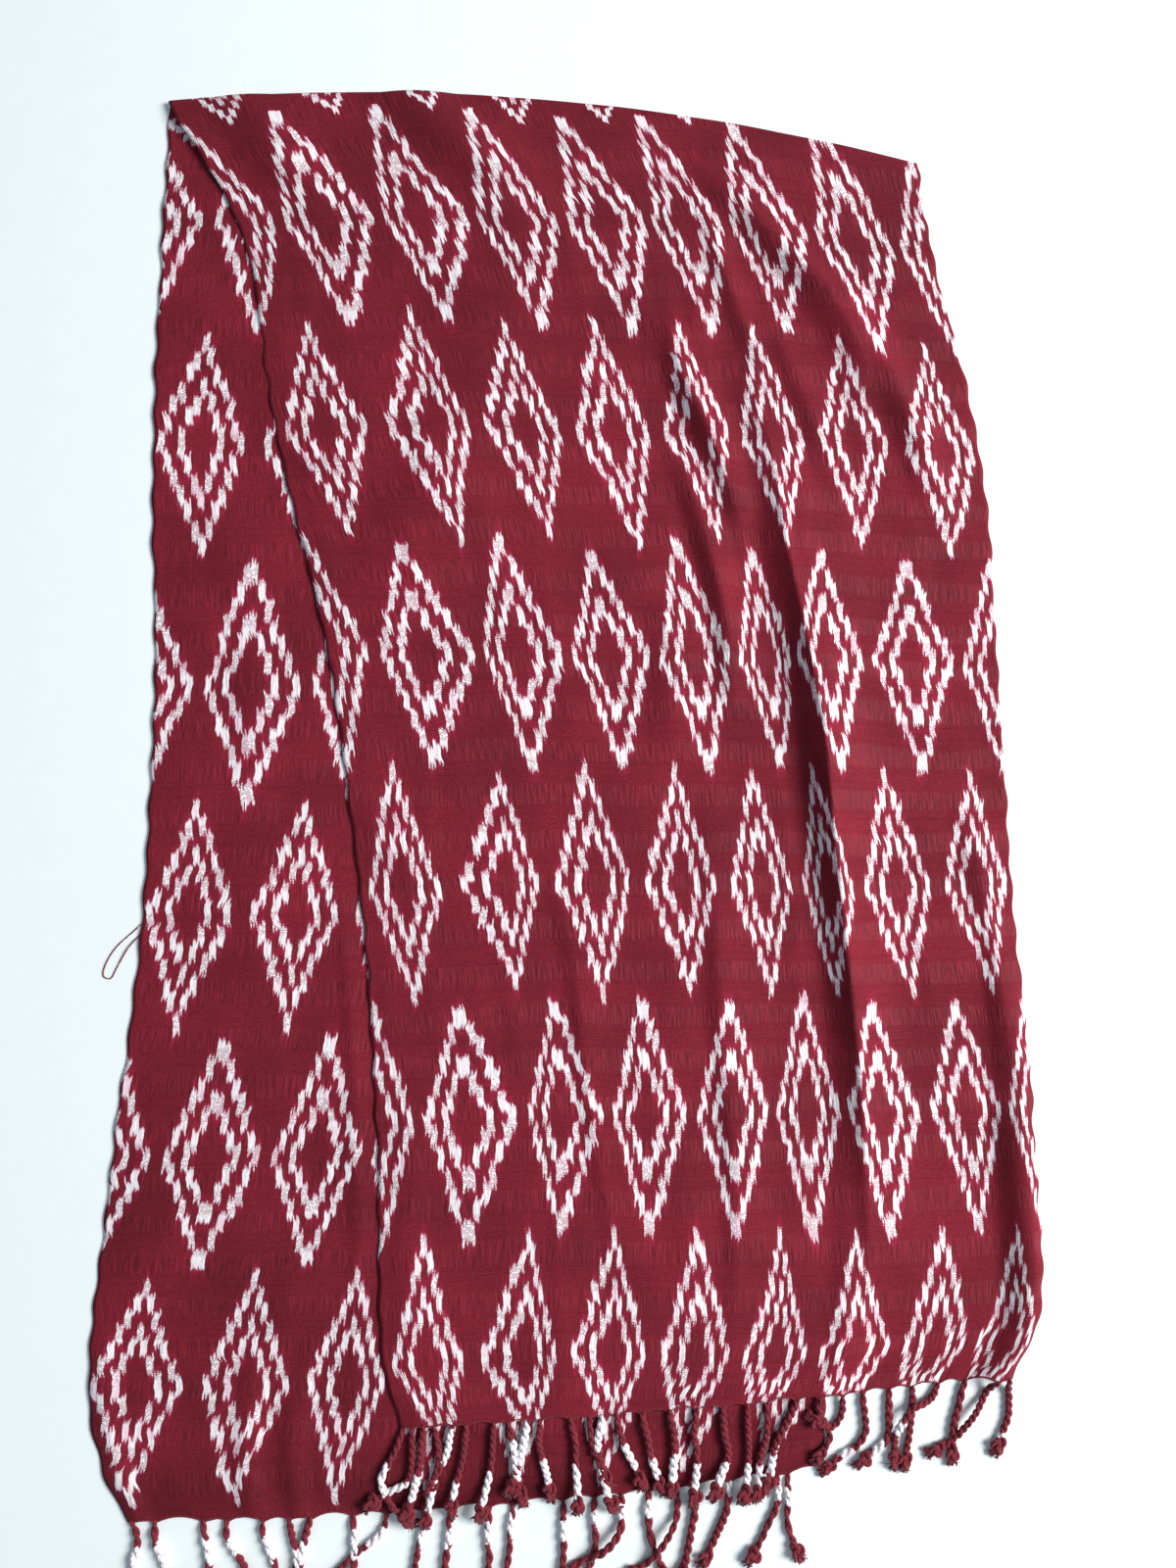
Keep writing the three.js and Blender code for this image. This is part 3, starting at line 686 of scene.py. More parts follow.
class Tubes:
    """Gathers tubes into one mesh, with the place along the strand and its dye on two maps."""

    def __init__(self):
        self.vertices, self.faces, self.plan, self.dye = [], [], [], []
        self.count = 0

    def add(self, line, radius, sides, plan_u, plan_v, dye, seed):
        """A closed tube round a line of points; radius, plan_v and dye have one value a point."""
        line = np.asarray(line, float)
        count = len(line)
        ahead = np.gradient(line, axis=0)
        ahead /= np.linalg.norm(ahead, axis=1, keepdims=True) + 1e-9
        up = np.array([0.0, 0.0, 1.0]) + 0 * ahead
        side = np.cross(ahead, up)
        side /= np.linalg.norm(side, axis=1, keepdims=True) + 1e-9
        up = np.cross(side, ahead)
        turn = np.linspace(0, 2 * math.pi, sides, endpoint=False)
        ring = side[:, None] * np.cos(turn)[None, :, None] + up[:, None] * np.sin(turn)[None, :, None]
        radius = np.broadcast_to(np.asarray(radius, float), (count,))
        skin = (line[:, None] + ring * radius[:, None, None]).reshape(-1, 3)
        skin[:, 2] = np.maximum(skin[:, 2], LOWEST)
        self.vertices.append(skin)
        index = self.count + np.arange(count * sides).reshape(count, sides)
        beside = np.roll(index, -1, axis=1)
        wall = np.stack([index[:-1], beside[:-1], beside[1:], index[1:]], axis=-1).reshape(-1, 4)
        self.faces += wall[:, ::-1].tolist()
        self.faces.append(index[0].tolist())
        self.faces.append(index[-1][::-1].tolist())
        around = plan_u + turn / (2 * math.pi) * AROUND_YARN
        plan_v = np.broadcast_to(np.asarray(plan_v, float), (count,))
        dye = np.broadcast_to(np.asarray(dye, float), (count,))
        plan = [np.repeat(around[None], count, axis=0), np.repeat(plan_v[:, None], sides, axis=1)]
        self.plan.append(np.stack(plan, axis=-1).reshape(-1, 2))
        self.dye.append(np.stack([np.repeat(dye, sides), np.full(count * sides, seed)], axis=-1))
        self.count += count * sides

    def piece(self, name, material):
        maps = {"StrandPlan": np.concatenate(self.plan), "StrandDye": np.concatenate(self.dye)}
        return make_piece(name, np.concatenate(self.vertices) * MM, self.faces, maps, material)


def resample(points, step):
    """Even steps along a smooth curve through the points."""
    points = np.asarray(points, float)
    reach = np.concatenate([[0], np.cumsum(np.linalg.norm(np.diff(points, axis=0), axis=1))])
    fine = smooth_read(reach, points, np.linspace(0, reach[-1], CURVE_POINTS))
    length = np.concatenate([[0], np.cumsum(np.linalg.norm(np.diff(fine, axis=0), axis=1))])
    places = np.linspace(0, length[-1], max(FEWEST_POINTS, int(length[-1] / step) + 1))
    even = np.stack([np.interp(places, length, fine[:, axis]) for axis in range(3)], axis=-1)
    return even, places


def undyed_share(places, undyed):
    """1 where the dye didn't reach the strand and 0 elsewhere, with soft edges."""
    if undyed is None:
        return 0 * places
    start, end = undyed
    return ease((places - start) / DYE_EDGE + 0.5) * ease((end - places) / DYE_EDGE + 0.5)


def yarn_wave(name, places, seed, ply=0.0):
    """Smooth random values from -1 to 1 along a strand, or along one of its plies."""
    wave = YARN_WAVES[name]
    own_seed = int(seed * wave["factor"] + ply) % wave["seeds"] + wave["first"]
    return soft_noise(places, 0 * places, wave["length"], 1, own_seed)


def overhand_knot(tubes, centre, heading, size, random, seed):
    """A strand tied round itself: a flattened three-lobed loop of two plies."""
    t = np.linspace(0, 2 * math.pi, KNOT_STEPS)
    start = random.uniform(0, 6)
    loops = (np.sin(t) + 2 * np.sin(2 * t), np.cos(t) - 2 * np.cos(2 * t), -1.1 * np.sin(3 * t))
    local = np.stack(loops, axis=-1)
    spin = np.array([[math.cos(start), math.sin(start)], [-math.sin(start), math.cos(start)]])
    local[:, :2] = local[:, :2] @ spin
    local *= np.array(KNOT_FORM) * size * KNOT_LOOP
    turned = np.array([math.cos(heading), math.sin(heading)])
    x = local[:, 0] * -turned[1] + local[:, 1] * turned[0]
    y = local[:, 0] * turned[0] + local[:, 1] * turned[1]
    line = centre + np.stack([x, y, local[:, 2]], axis=-1)
    thick = size * KNOT_PLY * (1 + KNOT_PLY_UNEVEN * np.sin(5 * t + seed))
    for side in (-1, 1):
        lifted = line + np.array([0, 0, side * size * KNOT_PLY_LIFT])
        spread = 1 + side * KNOT_PLY_SPREAD
        drawn = centre + (lifted - centre) * np.array([spread, spread, 1])
        tubes.add(drawn, thick, PLY_SIDES, random.uniform(), t / 200, 0, seed)
    reach = np.linspace(-KNOT_CORE_REACH, KNOT_CORE_REACH, 6) * size
    core = centre + np.outer(reach, [turned[0], turned[1], 0])
    core_radius = size * KNOT_CORE * np.sin(np.linspace(0.5, 2.6, 6))
    tubes.add(core, core_radius, PLY_SIDES, seed % 1, np.linspace(0, 0.01, 6), 0, seed)


def frayed_tuft(tubes, start, heading, size, random, seed):
    """A brush of yarn ends beyond the knot, with a few finer threads that stray from it."""
    across = np.array([-math.sin(heading), math.cos(heading)])
    ends = [
        (random.uniform(*kind["thick"]), random.uniform(*kind["length"]), kind["spread"])
        for kind in TUFT_ENDS
        for _ in range(kind["count"])
    ]
    for thick, length, spread in ends:
        place = random.uniform(-1, 1)
        share = np.linspace(0, 1, YARN_END_STEPS)
        angle = heading + place * TUFT_FAN + random.normal(0, spread)
        angle = angle + random.normal(0, TUFT_CURL) * share
        x = start[0] + across[0] * place * size * TUFT_WIDTH + length * share * np.cos(angle)
        y = start[1] + across[1] * place * size * TUFT_WIDTH + length * share * np.sin(angle)
        droop = max(0, start[2] - TUFT_END_HEIGHT) * TUFT_DROOP
        z = start[2] + random.uniform(*TUFT_HEIGHTS) * (1 - share) - share * droop
        line = np.stack([x, y, np.maximum(z, thick + TUFT_CLEARANCE)], axis=-1)
        taper = thick * (1 - TUFT_TAPER * share**2)
        tubes.add(line, taper, YARN_END_SIDES, random.uniform(), share * 0.01, 0, seed)


def add_strand(tubes, strand, root, floor_at, pitch, random, seed):
    """A two-ply twisted strand from the hem to its knot and tuft."""
    points = [root] + [root + np.array([dx, dy, 0.0]) for dx, dy in strand["path"]]
    line, places = resample(points, STRAND_STEP)
    total = places[-1]
    floor = np.array([floor_at(x, y) for x, y in line[:, :2]])
    floor = np.pad(floor, FLOOR_SMOOTHING // 2, mode="edge")
    floor = np.convolve(floor, np.ones(FLOOR_SMOOTHING) / FLOOR_SMOOTHING, mode="valid")
    settled = ease(places / SETTLING)
    along_lift = np.clip((places - LIFT_START * total) / (LIFT_LENGTH * total), 0, 1)
    hump = strand.get("lift", 0) * np.sin(math.pi * along_lift)
    resting = floor + (PLY_RADIUS + PLY_ORBIT) * PLY_FLATTENING
    line[:, 2] = root[2] + (resting - root[2]) * settled + hump
    line[:, 0] += SWAY * yarn_wave("sway", places, seed) * settled
    ahead = np.gradient(line, axis=0)
    ahead /= np.linalg.norm(ahead, axis=1, keepdims=True)
    side = np.cross(ahead, [0.0, 0.0, 1.0])
    side /= np.linalg.norm(side, axis=1, keepdims=True)
    up = np.cross(side, ahead)
    pitch = pitch * random.uniform(*PITCH_SHARE)
    start = random.uniform(0, 2 * math.pi)
    turns = places / pitch + TWIST_UNEVEN * yarn_wave("twist", places, seed)
    slim = ROOT_SLIMNESS + (1 - ROOT_SLIMNESS) * ease(places / ROOT_LENGTH)
    dye = undyed_share(places, strand["undyed"])
    full = slim * random.uniform(*THICKNESS_SHARE) * (1 + UNDYED_SWELL * dye)
    for ply in (0, math.pi):
        angle = start + ply + 2 * math.pi * turns
        wound = side * np.cos(angle)[:, None] + up * np.sin(angle)[:, None] * PLY_FLATTENING
        wound = wound * (PLY_ORBIT * full)[:, None]
        ply_dye = undyed_share(places + random.uniform(-DYE_LAG, DYE_LAG), strand["undyed"])
        uneven = 1 + PLY_UNEVEN * yarn_wave("ply", places, seed, ply)
        thick = PLY_RADIUS * full * uneven
        tubes.add(line + wound, thick, PLY_SIDES, seed % 1, places * MM, ply_dye, seed)
    heading = math.atan2(ahead[-1, 1], ahead[-1, 0])
    forward = np.array([math.cos(heading), math.sin(heading), 0.0])
    size = random.uniform(*KNOT_SIZE)
    centre = line[-1] + forward * size * KNOT_PLACE
    centre[2] = floor[-1] + size * KNOT_PLACE
    overhand_knot(tubes, centre, heading, size, random, seed)
    tuft_start = centre + forward * size * TUFT_PLACE
    frayed_tuft(tubes, tuft_start, heading + random.normal(0, TUFT_TURN), size, random, seed)


def lock_thread(tubes, plan_at, strands, length, height_at, seed):
    """The thread that holds the last picks of the weave, along the very edge of the hem."""
    across = np.linspace(1, CLOTH_WIDTH - 1, LOCK_THREAD_STEPS)[None]
    along = np.full_like(across, length - LOCK_THREAD_INSET)
    x, y = plan_at(across, along)
    z = height_at(across, along)
    y = y + hem_arch(across, strands, along, length)
    line = np.stack([x, y, z], axis=-1)[0]
    thick = LOCK_THREAD_RADIUS + LOCK_THREAD_UNEVEN * np.sin(across[0] * LOCK_THREAD_WAVE)
    tubes.add(line, thick, THREAD_SIDES, 0.4, across[0] * MM, 0, seed)


def hem_roots(strands, plan_at, length, height_at):
    """Where the strands start, just inside the hem."""
    across = np.array([column_of(strands, "at")], float)
    along = np.full_like(across, length - ROOT_INSET)
    x, y = plan_at(across, along)
    z = height_at(across, along)
    return np.stack([x, y, z], axis=-1)[0]


def lower_hem_y(x):
    end = LOWER_LINES[-1]
    slope = (end["right_y"] - end["left_y"]) / (end["right_x"] - end["left_x"])
    return end["left_y"] + slope * (x - end["left_x"])


def upper_strand_floor(x, y):
    """Height of what a strand of the upper fringe lies on."""
    if x > lower_right_edge(y) + PAST_EDGE:
        return UPPER_ON_TABLE
    if y > lower_hem_y(x) + BEFORE_HEM:
        return UPPER_ON_CLOTH
    return UPPER_ON_FRINGE


def lower_strand_floor(x, y):
    return LOWER_ON_TABLE


def fringe(name, strands, plan_at, length, height_at, floor_at, pitch, seed, material):
    """All the strands of one hem, with its lock thread, as one piece."""
    random = np.random.default_rng(SEED + seed)
    tubes = Tubes()
    roots = hem_roots(strands, plan_at, length, height_at)
    lock_thread(tubes, plan_at, strands, length, height_at, seed)
    for index, (strand, root) in enumerate(zip(strands, roots)):
        add_strand(tubes, strand, root, floor_at, pitch, random, seed + index * SEED_STEP)
    return tubes.piece(name, material)


def loose_thread(material):
    """A thread pulled from the left selvedge, lying on the table in a long loop."""
    line, places = resample(LOOSE_THREAD, LOOSE_THREAD_STEP)
    tubes = Tubes()
    tubes.add(
        line, LOOSE_THREAD_RADIUS, THREAD_SIDES, plan_u=0.3, plan_v=places * MM, dye=LOOSE_THREAD_UNDYED,
        seed=3.3,
    )
    return tubes.piece("LooseThread", material)


# --- Shader nodes ---------------------------------------------------------------------------------
# Noises over the cloth: scale for each metre, and how far the plan is squeezed across and along.
CLOTH_NOISES = dict(
    wander=dict(scale=22.0, across=0.7, along=1.4, detail=1.0),
    shiver=dict(scale=90.0, across=0.5, along=1.0, detail=1.0),
    band_drift=dict(scale=9.0, across=1.0, along=2.0, detail=2.0),
    rib_bend=dict(scale=30.0, across=1.0, along=4.0, detail=1.0),
    rib_strength=dict(scale=60.0, across=0.25, along=6.0, detail=2.0),
    puckers=dict(scale=430.0, across=1.0, along=0.15, detail=1.0),
    creases=dict(scale=760.0, across=1.0, along=0.2, detail=1.0),
    grain=dict(scale=1000.0, across=1.0, along=0.8, detail=1.0),
)


class Wiring:
    """Places nodes in a tree and joins them, one call for each node."""

    def __init__(self, tree):
        self.tree = tree

    def node(self, kind, **settings):
        node = self.tree.nodes.new(kind)
        for name, value in settings.items():
            setattr(node, name, value)
        return node

    def feed(self, socket, value):
        if isinstance(value, bpy.types.NodeSocket):
            self.tree.links.new(value, socket)
        else:
            socket.default_value = value

    def math(self, operation, *values):
        node = self.node("ShaderNodeMath", operation=operation)
        for socket, value in zip(node.inputs, values):
            self.feed(socket, value)
        return node.outputs[0]

    def ramp(self, value, low, high):
        """0 below low and 1 above high, with a soft step between; low may be the larger."""
        node = self.node("ShaderNodeMapRange", interpolation_type="SMOOTHSTEP")
        self.feed(node.inputs["Value"], value)
        self.feed(node.inputs["From Min"], min(low, high))
        self.feed(node.inputs["From Max"], max(low, high))
        if low > high:
            node.inputs["To Min"].default_value = 1
            node.inputs["To Max"].default_value = 0
        return node.outputs["Result"]

    def join(self, x, y, z=0.0):
        node = self.node("ShaderNodeCombineXYZ")
        for socket, value in zip(node.inputs, (x, y, z)):
            self.feed(socket, value)
        return node.outputs[0]

    def split(self, vector):
        node = self.node("ShaderNodeSeparateXYZ")
        self.feed(node.inputs[0], vector)
        return node.outputs[0], node.outputs[1]

    def random(self, x, y, z):
        node = self.node("ShaderNodeTexWhiteNoise", noise_dimensions="3D")
        self.feed(node.inputs["Vector"], self.join(x, y, z))
        return node.outputs["Value"]

    def noise(self, vector, scale, detail):
        node = self.node("ShaderNodeTexNoise", noise_dimensions="3D")
        self.feed(node.inputs["Vector"], vector)
        node.inputs["Scale"].default_value = scale
        node.inputs["Detail"].default_value = detail
        return node.outputs[0]

    def vary(self, base, noise, amount):
        """The base, raised and lowered by a noise from 0 to 1."""
        return self.math("MULTIPLY_ADD", self.math("SUBTRACT", noise, 0.5), amount, base)

    def cloth_noise(self, name, across, along):
        """One row of the table of noises, over the plan of the cloth."""
        row = CLOTH_NOISES[name]
        squeezed = self.join(
            self.math("MULTIPLY", across, row["across"]), self.math("MULTIPLY", along, row["along"])
        )
        return self.noise(squeezed, row["scale"], row["detail"])

    def blend(self, share, first, second):
        node = self.node("ShaderNodeMix", data_type="RGBA")
        self.feed(node.inputs[0], share)
        self.feed(node.inputs[6], first)
        self.feed(node.inputs[7], second)
        return node.outputs[2]

    def tint(self, color, share):
        """A colour made lighter or darker."""
        node = self.node("ShaderNodeVectorMath", operation="SCALE")
        self.feed(node.inputs[0], color)
        self.feed(node.inputs["Scale"], share)
        return node.outputs[0]

    def uv(self, name):
        return self.node("ShaderNodeUVMap", uv_map=name).outputs[0]

    def group(self, tree, **values):
        node = self.node("ShaderNodeGroup", node_tree=tree)
        for name, value in values.items():
            self.feed(node.inputs[name.replace("_", " ")], value)
        return node.outputs


def new_group(name, inputs, outputs):
    """An empty node group with its sockets; returns it with its wiring, inputs and output node."""
    tree = bpy.data.node_groups.new(name, "ShaderNodeTree")
    for direction, sockets in (("INPUT", inputs), ("OUTPUT", outputs)):
        for socket, kind in sockets.items():
            tree.interface.new_socket(socket, in_out=direction, socket_type="NodeSocket" + kind)
    wire = Wiring(tree)
    given = wire.node("NodeGroupInput").outputs
    result = wire.node("NodeGroupOutput").inputs
    return tree, wire, given, result


BUNDLES = 16.0  # tied bundles of warp threads in one column of diamonds
THREADS = 80.0  # threads in one column
PICK_PITCH = 0.8  # from one weft thread to the next
STEP = 11.8  # millimetres that the outline rises from one bundle to the next
BUNDLE_SLIP = 4.2  # millimetres between the bundles' highest and lowest place
THREAD_SLIP = 5.0
SIZE_SPREAD = 0.12  # the diamonds' heights differ by up to this share
SIDE_EASE = 0.25
BEYOND_SIDE = 99.0  # a distance that keeps the outline from going past its side
# The two families of diamonds. Shift: columns that the family is moved by; Split: 0.5 where the middle
# lies between two bundles; tip: millimetres from the middle to the outline's point; side: bundles from
# the middle to its corner; Dash: half the length of one bundle's undyed stretch.
WHOLE_DIAMOND = dict(
    Shift=0.0, Split=0.5, Outer_tip=77.0, Inner_tip=43.0, Outer_side=6.5, Inner_side=3.5, Dash=7.1,
)
HALF_DIAMOND = dict(
    Shift=0.53, Split=0.0, Outer_tip=71.5, Inner_tip=39.5, Outer_side=6.0, Inner_side=3.0, Dash=6.6,
)
COLUMN_SWAY = dict(wander=0.11, shiver=0.06)  # how far the columns wander, in columns
STRAY_LENGTH = 17.0  # stretches of a thread that stray together
STRAY = 1.6
EDGE_SHIFT = 1.0
EDGE_SOFTNESS = 1.3  # millimetres each side of the edge of the dye
PLAIN_SHARE = 0.3  # of the thread crossings that have no fleck of weft
FLECK_RIBBED = 0.85  # share of the flecks that only the ribbed bands have
FLECK_DEPTH = 0.72
# An edge below is the pair of values between which a mask rises from 0 to 1, here in millimetres
# from the outline or as a random number.
BLEED_EDGE = (10.0, 0.5)
BLEED_LEAST = 0.3
STAIN_LENGTH = 21.0
STAIN_EDGE = (0.80, 1.0)
STAIN_DEPTH = 0.6
RIM_EDGE = (-4.0, 0.0)
RIM_STRAY_EDGE = (0.3, 0.8)
RIM_DEPTH = 0.9


def tied_diamonds_group():
    """One family of nested diamonds, each drawn by bundles of warp threads that were tied off."""
    tree, wire, given, result = new_group(
        "Tied diamonds",
        {
            "Column": "Float", "Thread": "Float", "Row": "Float", "Shift": "Float", "Split": "Float",
            "Outer tip": "Float", "Inner tip": "Float", "Outer side": "Float", "Inner side": "Float",
            "Dash": "Float",
        },
        {"Distance": "Float"},
    )
    m = wire.math
    place = m("MULTIPLY", m("SUBTRACT", given["Column"], given["Shift"]), BUNDLES)
    column = m("ROUND", m("DIVIDE", place, BUNDLES))
    local = m("SUBTRACT", place, m("MULTIPLY", column, BUNDLES))
    bundle = m("ADD", m("FLOOR", m("ADD", local, m("SUBTRACT", 0.5, given["Split"]))), given["Split"])
    away = m("ABSOLUTE", bundle)
    row = m("ROUND", given["Row"])
    rise = m("MULTIPLY", m("SUBTRACT", given["Row"], row), ROW_PITCH)
    side = m("SIGN", rise)
    # One diamond's own number, which sets its random draws apart from all others'.
    family = m("ADD", m("MULTIPLY", row, 7.31), m("ADD", given["Shift"], m("MULTIPLY", column, 3.7)))
    bundle_random = wire.random(bundle, family, side)
    thread_random = wire.random(given["Thread"], family, side)
    size_random = wire.random(column, family, 5.0)
    size = m("MULTIPLY_ADD", size_random, SIZE_SPREAD, 1 - SIZE_SPREAD / 2)
    slip = m("MULTIPLY_ADD", bundle_random, BUNDLE_SLIP, -BUNDLE_SLIP / 2)
    slip = m("ADD", slip, m("MULTIPLY_ADD", thread_random, THREAD_SLIP, -THREAD_SLIP / 2))
    reach = m("MULTIPLY_ADD", m("ABSOLUTE", rise), size, slip)
    fall = m("MULTIPLY", away, STEP)

    def outline(tip, side_bundles):
        off = m("ABSOLUTE", m("SUBTRACT", reach, m("SUBTRACT", tip, fall)))
        outside = m("GREATER_THAN", away, m("ADD", side_bundles, SIDE_EASE))
        return m("MULTIPLY_ADD", outside, BEYOND_SIDE, m("SUBTRACT", off, given["Dash"]))

    outer = outline(given["Outer tip"], given["Outer side"])
    inner = outline(given["Inner tip"], given["Inner side"])
    wire.feed(result["Distance"], m("MINIMUM", outer, inner))
    return tree


def ikat_group(diamonds):
    """The whole warp pattern: two families of diamonds set half a column apart."""
    tree, wire, given, result = new_group(
        "Ikat warp",
        {"Plan": "Vector", "Chart": "Vector", "Crinkle": "Float"},
        {"Undyed": "Float", "Bleed": "Float", "Blush": "Float"},
    )
    m = wire.math
    across, along = wire.split(given["Plan"])
    column = m("DIVIDE", across, COLUMN_PITCH * MM)
    for name, sway in COLUMN_SWAY.items():
        column = wire.vary(column, wire.cloth_noise(name, across, along), sway)
    bundle = m("FLOOR", m("MULTIPLY", column, BUNDLES))
    thread = m("FLOOR", m("MULTIPLY", column, THREADS))
    whole_row, half_row = wire.split(given["Chart"])
    whole = wire.group(diamonds, Column=column, Thread=thread, Row=whole_row, **WHOLE_DIAMOND)
    half = wire.group(diamonds, Column=column, Thread=thread, Row=half_row, **HALF_DIAMOND)
    distance = m("MINIMUM", whole["Distance"], half["Distance"])
    stray = wire.random(thread, m("FLOOR", m("DIVIDE", along, STRAY_LENGTH * MM)), 6.0)
    edge = m("SUBTRACT", distance, m("MULTIPLY_ADD", stray, STRAY, -EDGE_SHIFT))
    undyed = wire.ramp(edge, EDGE_SOFTNESS, -EDGE_SOFTNESS)
    pick = m("FLOOR", m("DIVIDE", along, PICK_PITCH * MM))
    chequer = m("PINGPONG", m("ADD", thread, pick), 1.0)
    fleck = m("GREATER_THAN", wire.random(thread, pick, 2.0), PLAIN_SHARE)
    ribbed = m("SUBTRACT", 1.0, m("MULTIPLY", given["Crinkle"], FLECK_RIBBED))
    flecks = m("MULTIPLY", m("MULTIPLY", chequer, fleck), ribbed)
    undyed = m("MULTIPLY", undyed, m("SUBTRACT", 1.0, m("MULTIPLY", flecks, FLECK_DEPTH)))
    wire.feed(result["Undyed"], undyed)
    bleed = m("MULTIPLY_ADD", stray, 1 - BLEED_LEAST, BLEED_LEAST)
    wire.feed(result["Bleed"], m("MULTIPLY", wire.ramp(distance, *BLEED_EDGE), bleed))
    patch = m("FLOOR", m("DIVIDE", along, STAIN_LENGTH * MM))
    stained = wire.ramp(wire.random(bundle, patch, 4.0), *STAIN_EDGE)
    rim = m("MULTIPLY", wire.ramp(distance, *RIM_EDGE), wire.ramp(stray, *RIM_STRAY_EDGE))
    blush = m("MAXIMUM", m("MULTIPLY", stained, STAIN_DEPTH), m("MULTIPLY", rim, RIM_DEPTH))
    wire.feed(result["Blush"], blush)
    return tree


RIB_PITCH = 1.35
BAND_WANDER = 14.0  # the bands' edges wander along the cloth within this length
BAND_EDGE = (0.29, 0.18)  # from a ribbed band to the puckered one, in pitches from its middle
RIB_BEND = 1.2
RIB_EDGE = (0.38, 0.68)
CREASE_EDGE = (0.56, 0.70)
# Height of the weave in millimetres, and how far it makes the colour lighter or darker, with painted shade
# in the ribs' grooves, painted light and shade on the puckers and in their creases, and a painted sheen on
# the puckered bands.
RIB_HEIGHT = 0.13
PUCKER_HEIGHT = 0.75
THREAD_HEIGHT = 0.03
GRAIN_HEIGHT = 0.22
RIB_PAINTED_SHADE = 0.20
PUCKER_PAINTED_LIGHT = 0.9
CREASE_PAINTED_SHADE = -0.21
GRAIN_SHADE = 0.8
CROSSING_SHADE = 0.12
CROSSING_RIBBED_SHADE = 0.28
CRINKLE_PAINTED_SHEEN = 0.02
DARKEST_SHADE = 0.25


def banded_weave_group():
    """Bands of fine ribs and of puckers, in turn: where they are, their height, and their shade with
    painted light and shade from their relief.
    """
    tree, wire, given, result = new_group(
        "Banded weave", {"Plan": "Vector"}, {"Crinkle": "Float", "Height": "Float", "Shade": "Float"}
    )
    m = wire.math
    across, along = wire.split(given["Plan"])
    place = wire.vary(along, wire.cloth_noise("band_drift", across, along), BAND_WANDER * MM)
    place = m("SUBTRACT", m("DIVIDE", place, BAND_PITCH * MM), BAND_START)
    crinkle = wire.ramp(m("PINGPONG", place, 0.5), *BAND_EDGE)
    ribbed = m("SUBTRACT", 1.0, crinkle)
    rib_place = m("MULTIPLY_ADD", wire.cloth_noise("rib_bend", across, along), RIB_BEND * MM, along)
    ribs = m("SINE", m("MULTIPLY", rib_place, 2 * math.pi / (RIB_PITCH * MM)))
    strength = wire.ramp(wire.cloth_noise("rib_strength", across, along), *RIB_EDGE)
    ribs = m("MULTIPLY", ribs, m("MULTIPLY", ribbed, strength))
    threads = m("SINE", m("MULTIPLY", across, 2 * math.pi * THREADS / (COLUMN_PITCH * MM)))
    puckers = wire.cloth_noise("puckers", across, along)
    creases = wire.ramp(wire.cloth_noise("creases", across, along), *CREASE_EDGE)
    grain = wire.cloth_noise("grain", across, along)
    height = m("MULTIPLY", ribs, RIB_HEIGHT)
    height = m("MULTIPLY_ADD", m("MULTIPLY", puckers, crinkle), PUCKER_HEIGHT, height)
    height = m("MULTIPLY_ADD", threads, THREAD_HEIGHT, height)
    height = m("MULTIPLY_ADD", grain, GRAIN_HEIGHT, height)
    wire.feed(result["Crinkle"], crinkle)
    wire.feed(result["Height"], height)
    thread = m("FLOOR", m("MULTIPLY", across, THREADS / (COLUMN_PITCH * MM)))
    pick = m("FLOOR", m("DIVIDE", along, PICK_PITCH * MM))
    crossing_shade = m("MULTIPLY_ADD", ribbed, CROSSING_RIBBED_SHADE, CROSSING_SHADE)
    # painted shade in the ribs' grooves, and painted light on their crests
    shade = m("MULTIPLY_ADD", ribs, RIB_PAINTED_SHADE, 1.0)
    # painted light on the puckers' tops and painted shade in their hollows
    shade = wire.vary(shade, puckers, m("MULTIPLY", crinkle, PUCKER_PAINTED_LIGHT))
    # painted shade in fine creases of the puckered bands
    shade = m("MULTIPLY_ADD", m("MULTIPLY", creases, crinkle), CREASE_PAINTED_SHADE, shade)
    shade = wire.vary(shade, grain, GRAIN_SHADE)
    shade = wire.vary(shade, wire.random(thread, pick, 9.0), crossing_shade)
    # painted sheen: the puckered bands a little lighter
    shade = m("MULTIPLY_ADD", crinkle, CRINKLE_PAINTED_SHEEN, shade)
    wire.feed(result["Shade"], m("MAXIMUM", shade, DARKEST_SHADE))
    return tree


UNDYED_COTTON = (0.86, 0.82, 0.86, 1)
BLUSHED_COTTON = (0.82, 0.48, 0.63, 1)
BURGUNDY = (0.177, 0.0092, 0.0208, 1)
CRIMSON = (0.32, 0.012, 0.047, 1)
BLEED_DEPTH = 0.9
BLUSH_DEPTH = 0.8
PALE_SHADE = 0.25  # share of the shade that undyed cotton takes on


def dye_colour_group():
    """Burgundy dye, crimson where it bled, and the undyed cotton that it didn't reach."""
    tree, wire, given, result = new_group(
        "Dye colours",
        {"Undyed": "Float", "Bleed": "Float", "Blush": "Float", "Shade": "Float"},
        {"Color": "Color"},
    )
    m = wire.math
    dyed = wire.blend(m("MULTIPLY", given["Bleed"], BLEED_DEPTH), BURGUNDY, CRIMSON)
    dyed = wire.tint(dyed, given["Shade"])
    pale = wire.blend(m("MULTIPLY", given["Blush"], BLUSH_DEPTH), UNDYED_COTTON, BLUSHED_COTTON)
    pale = wire.tint(pale, m("MULTIPLY_ADD", given["Shade"], PALE_SHADE, 1 - PALE_SHADE))
    wire.feed(result["Color"], wire.blend(given["Undyed"], dyed, pale))
    return tree


def new_material(name):
    material = bpy.data.materials.new(name)
    material.use_nodes = True
    wire = Wiring(material.node_tree)
    shader = next(node for node in material.node_tree.nodes if node.type == "BSDF_PRINCIPLED")
    return material, wire, shader.inputs


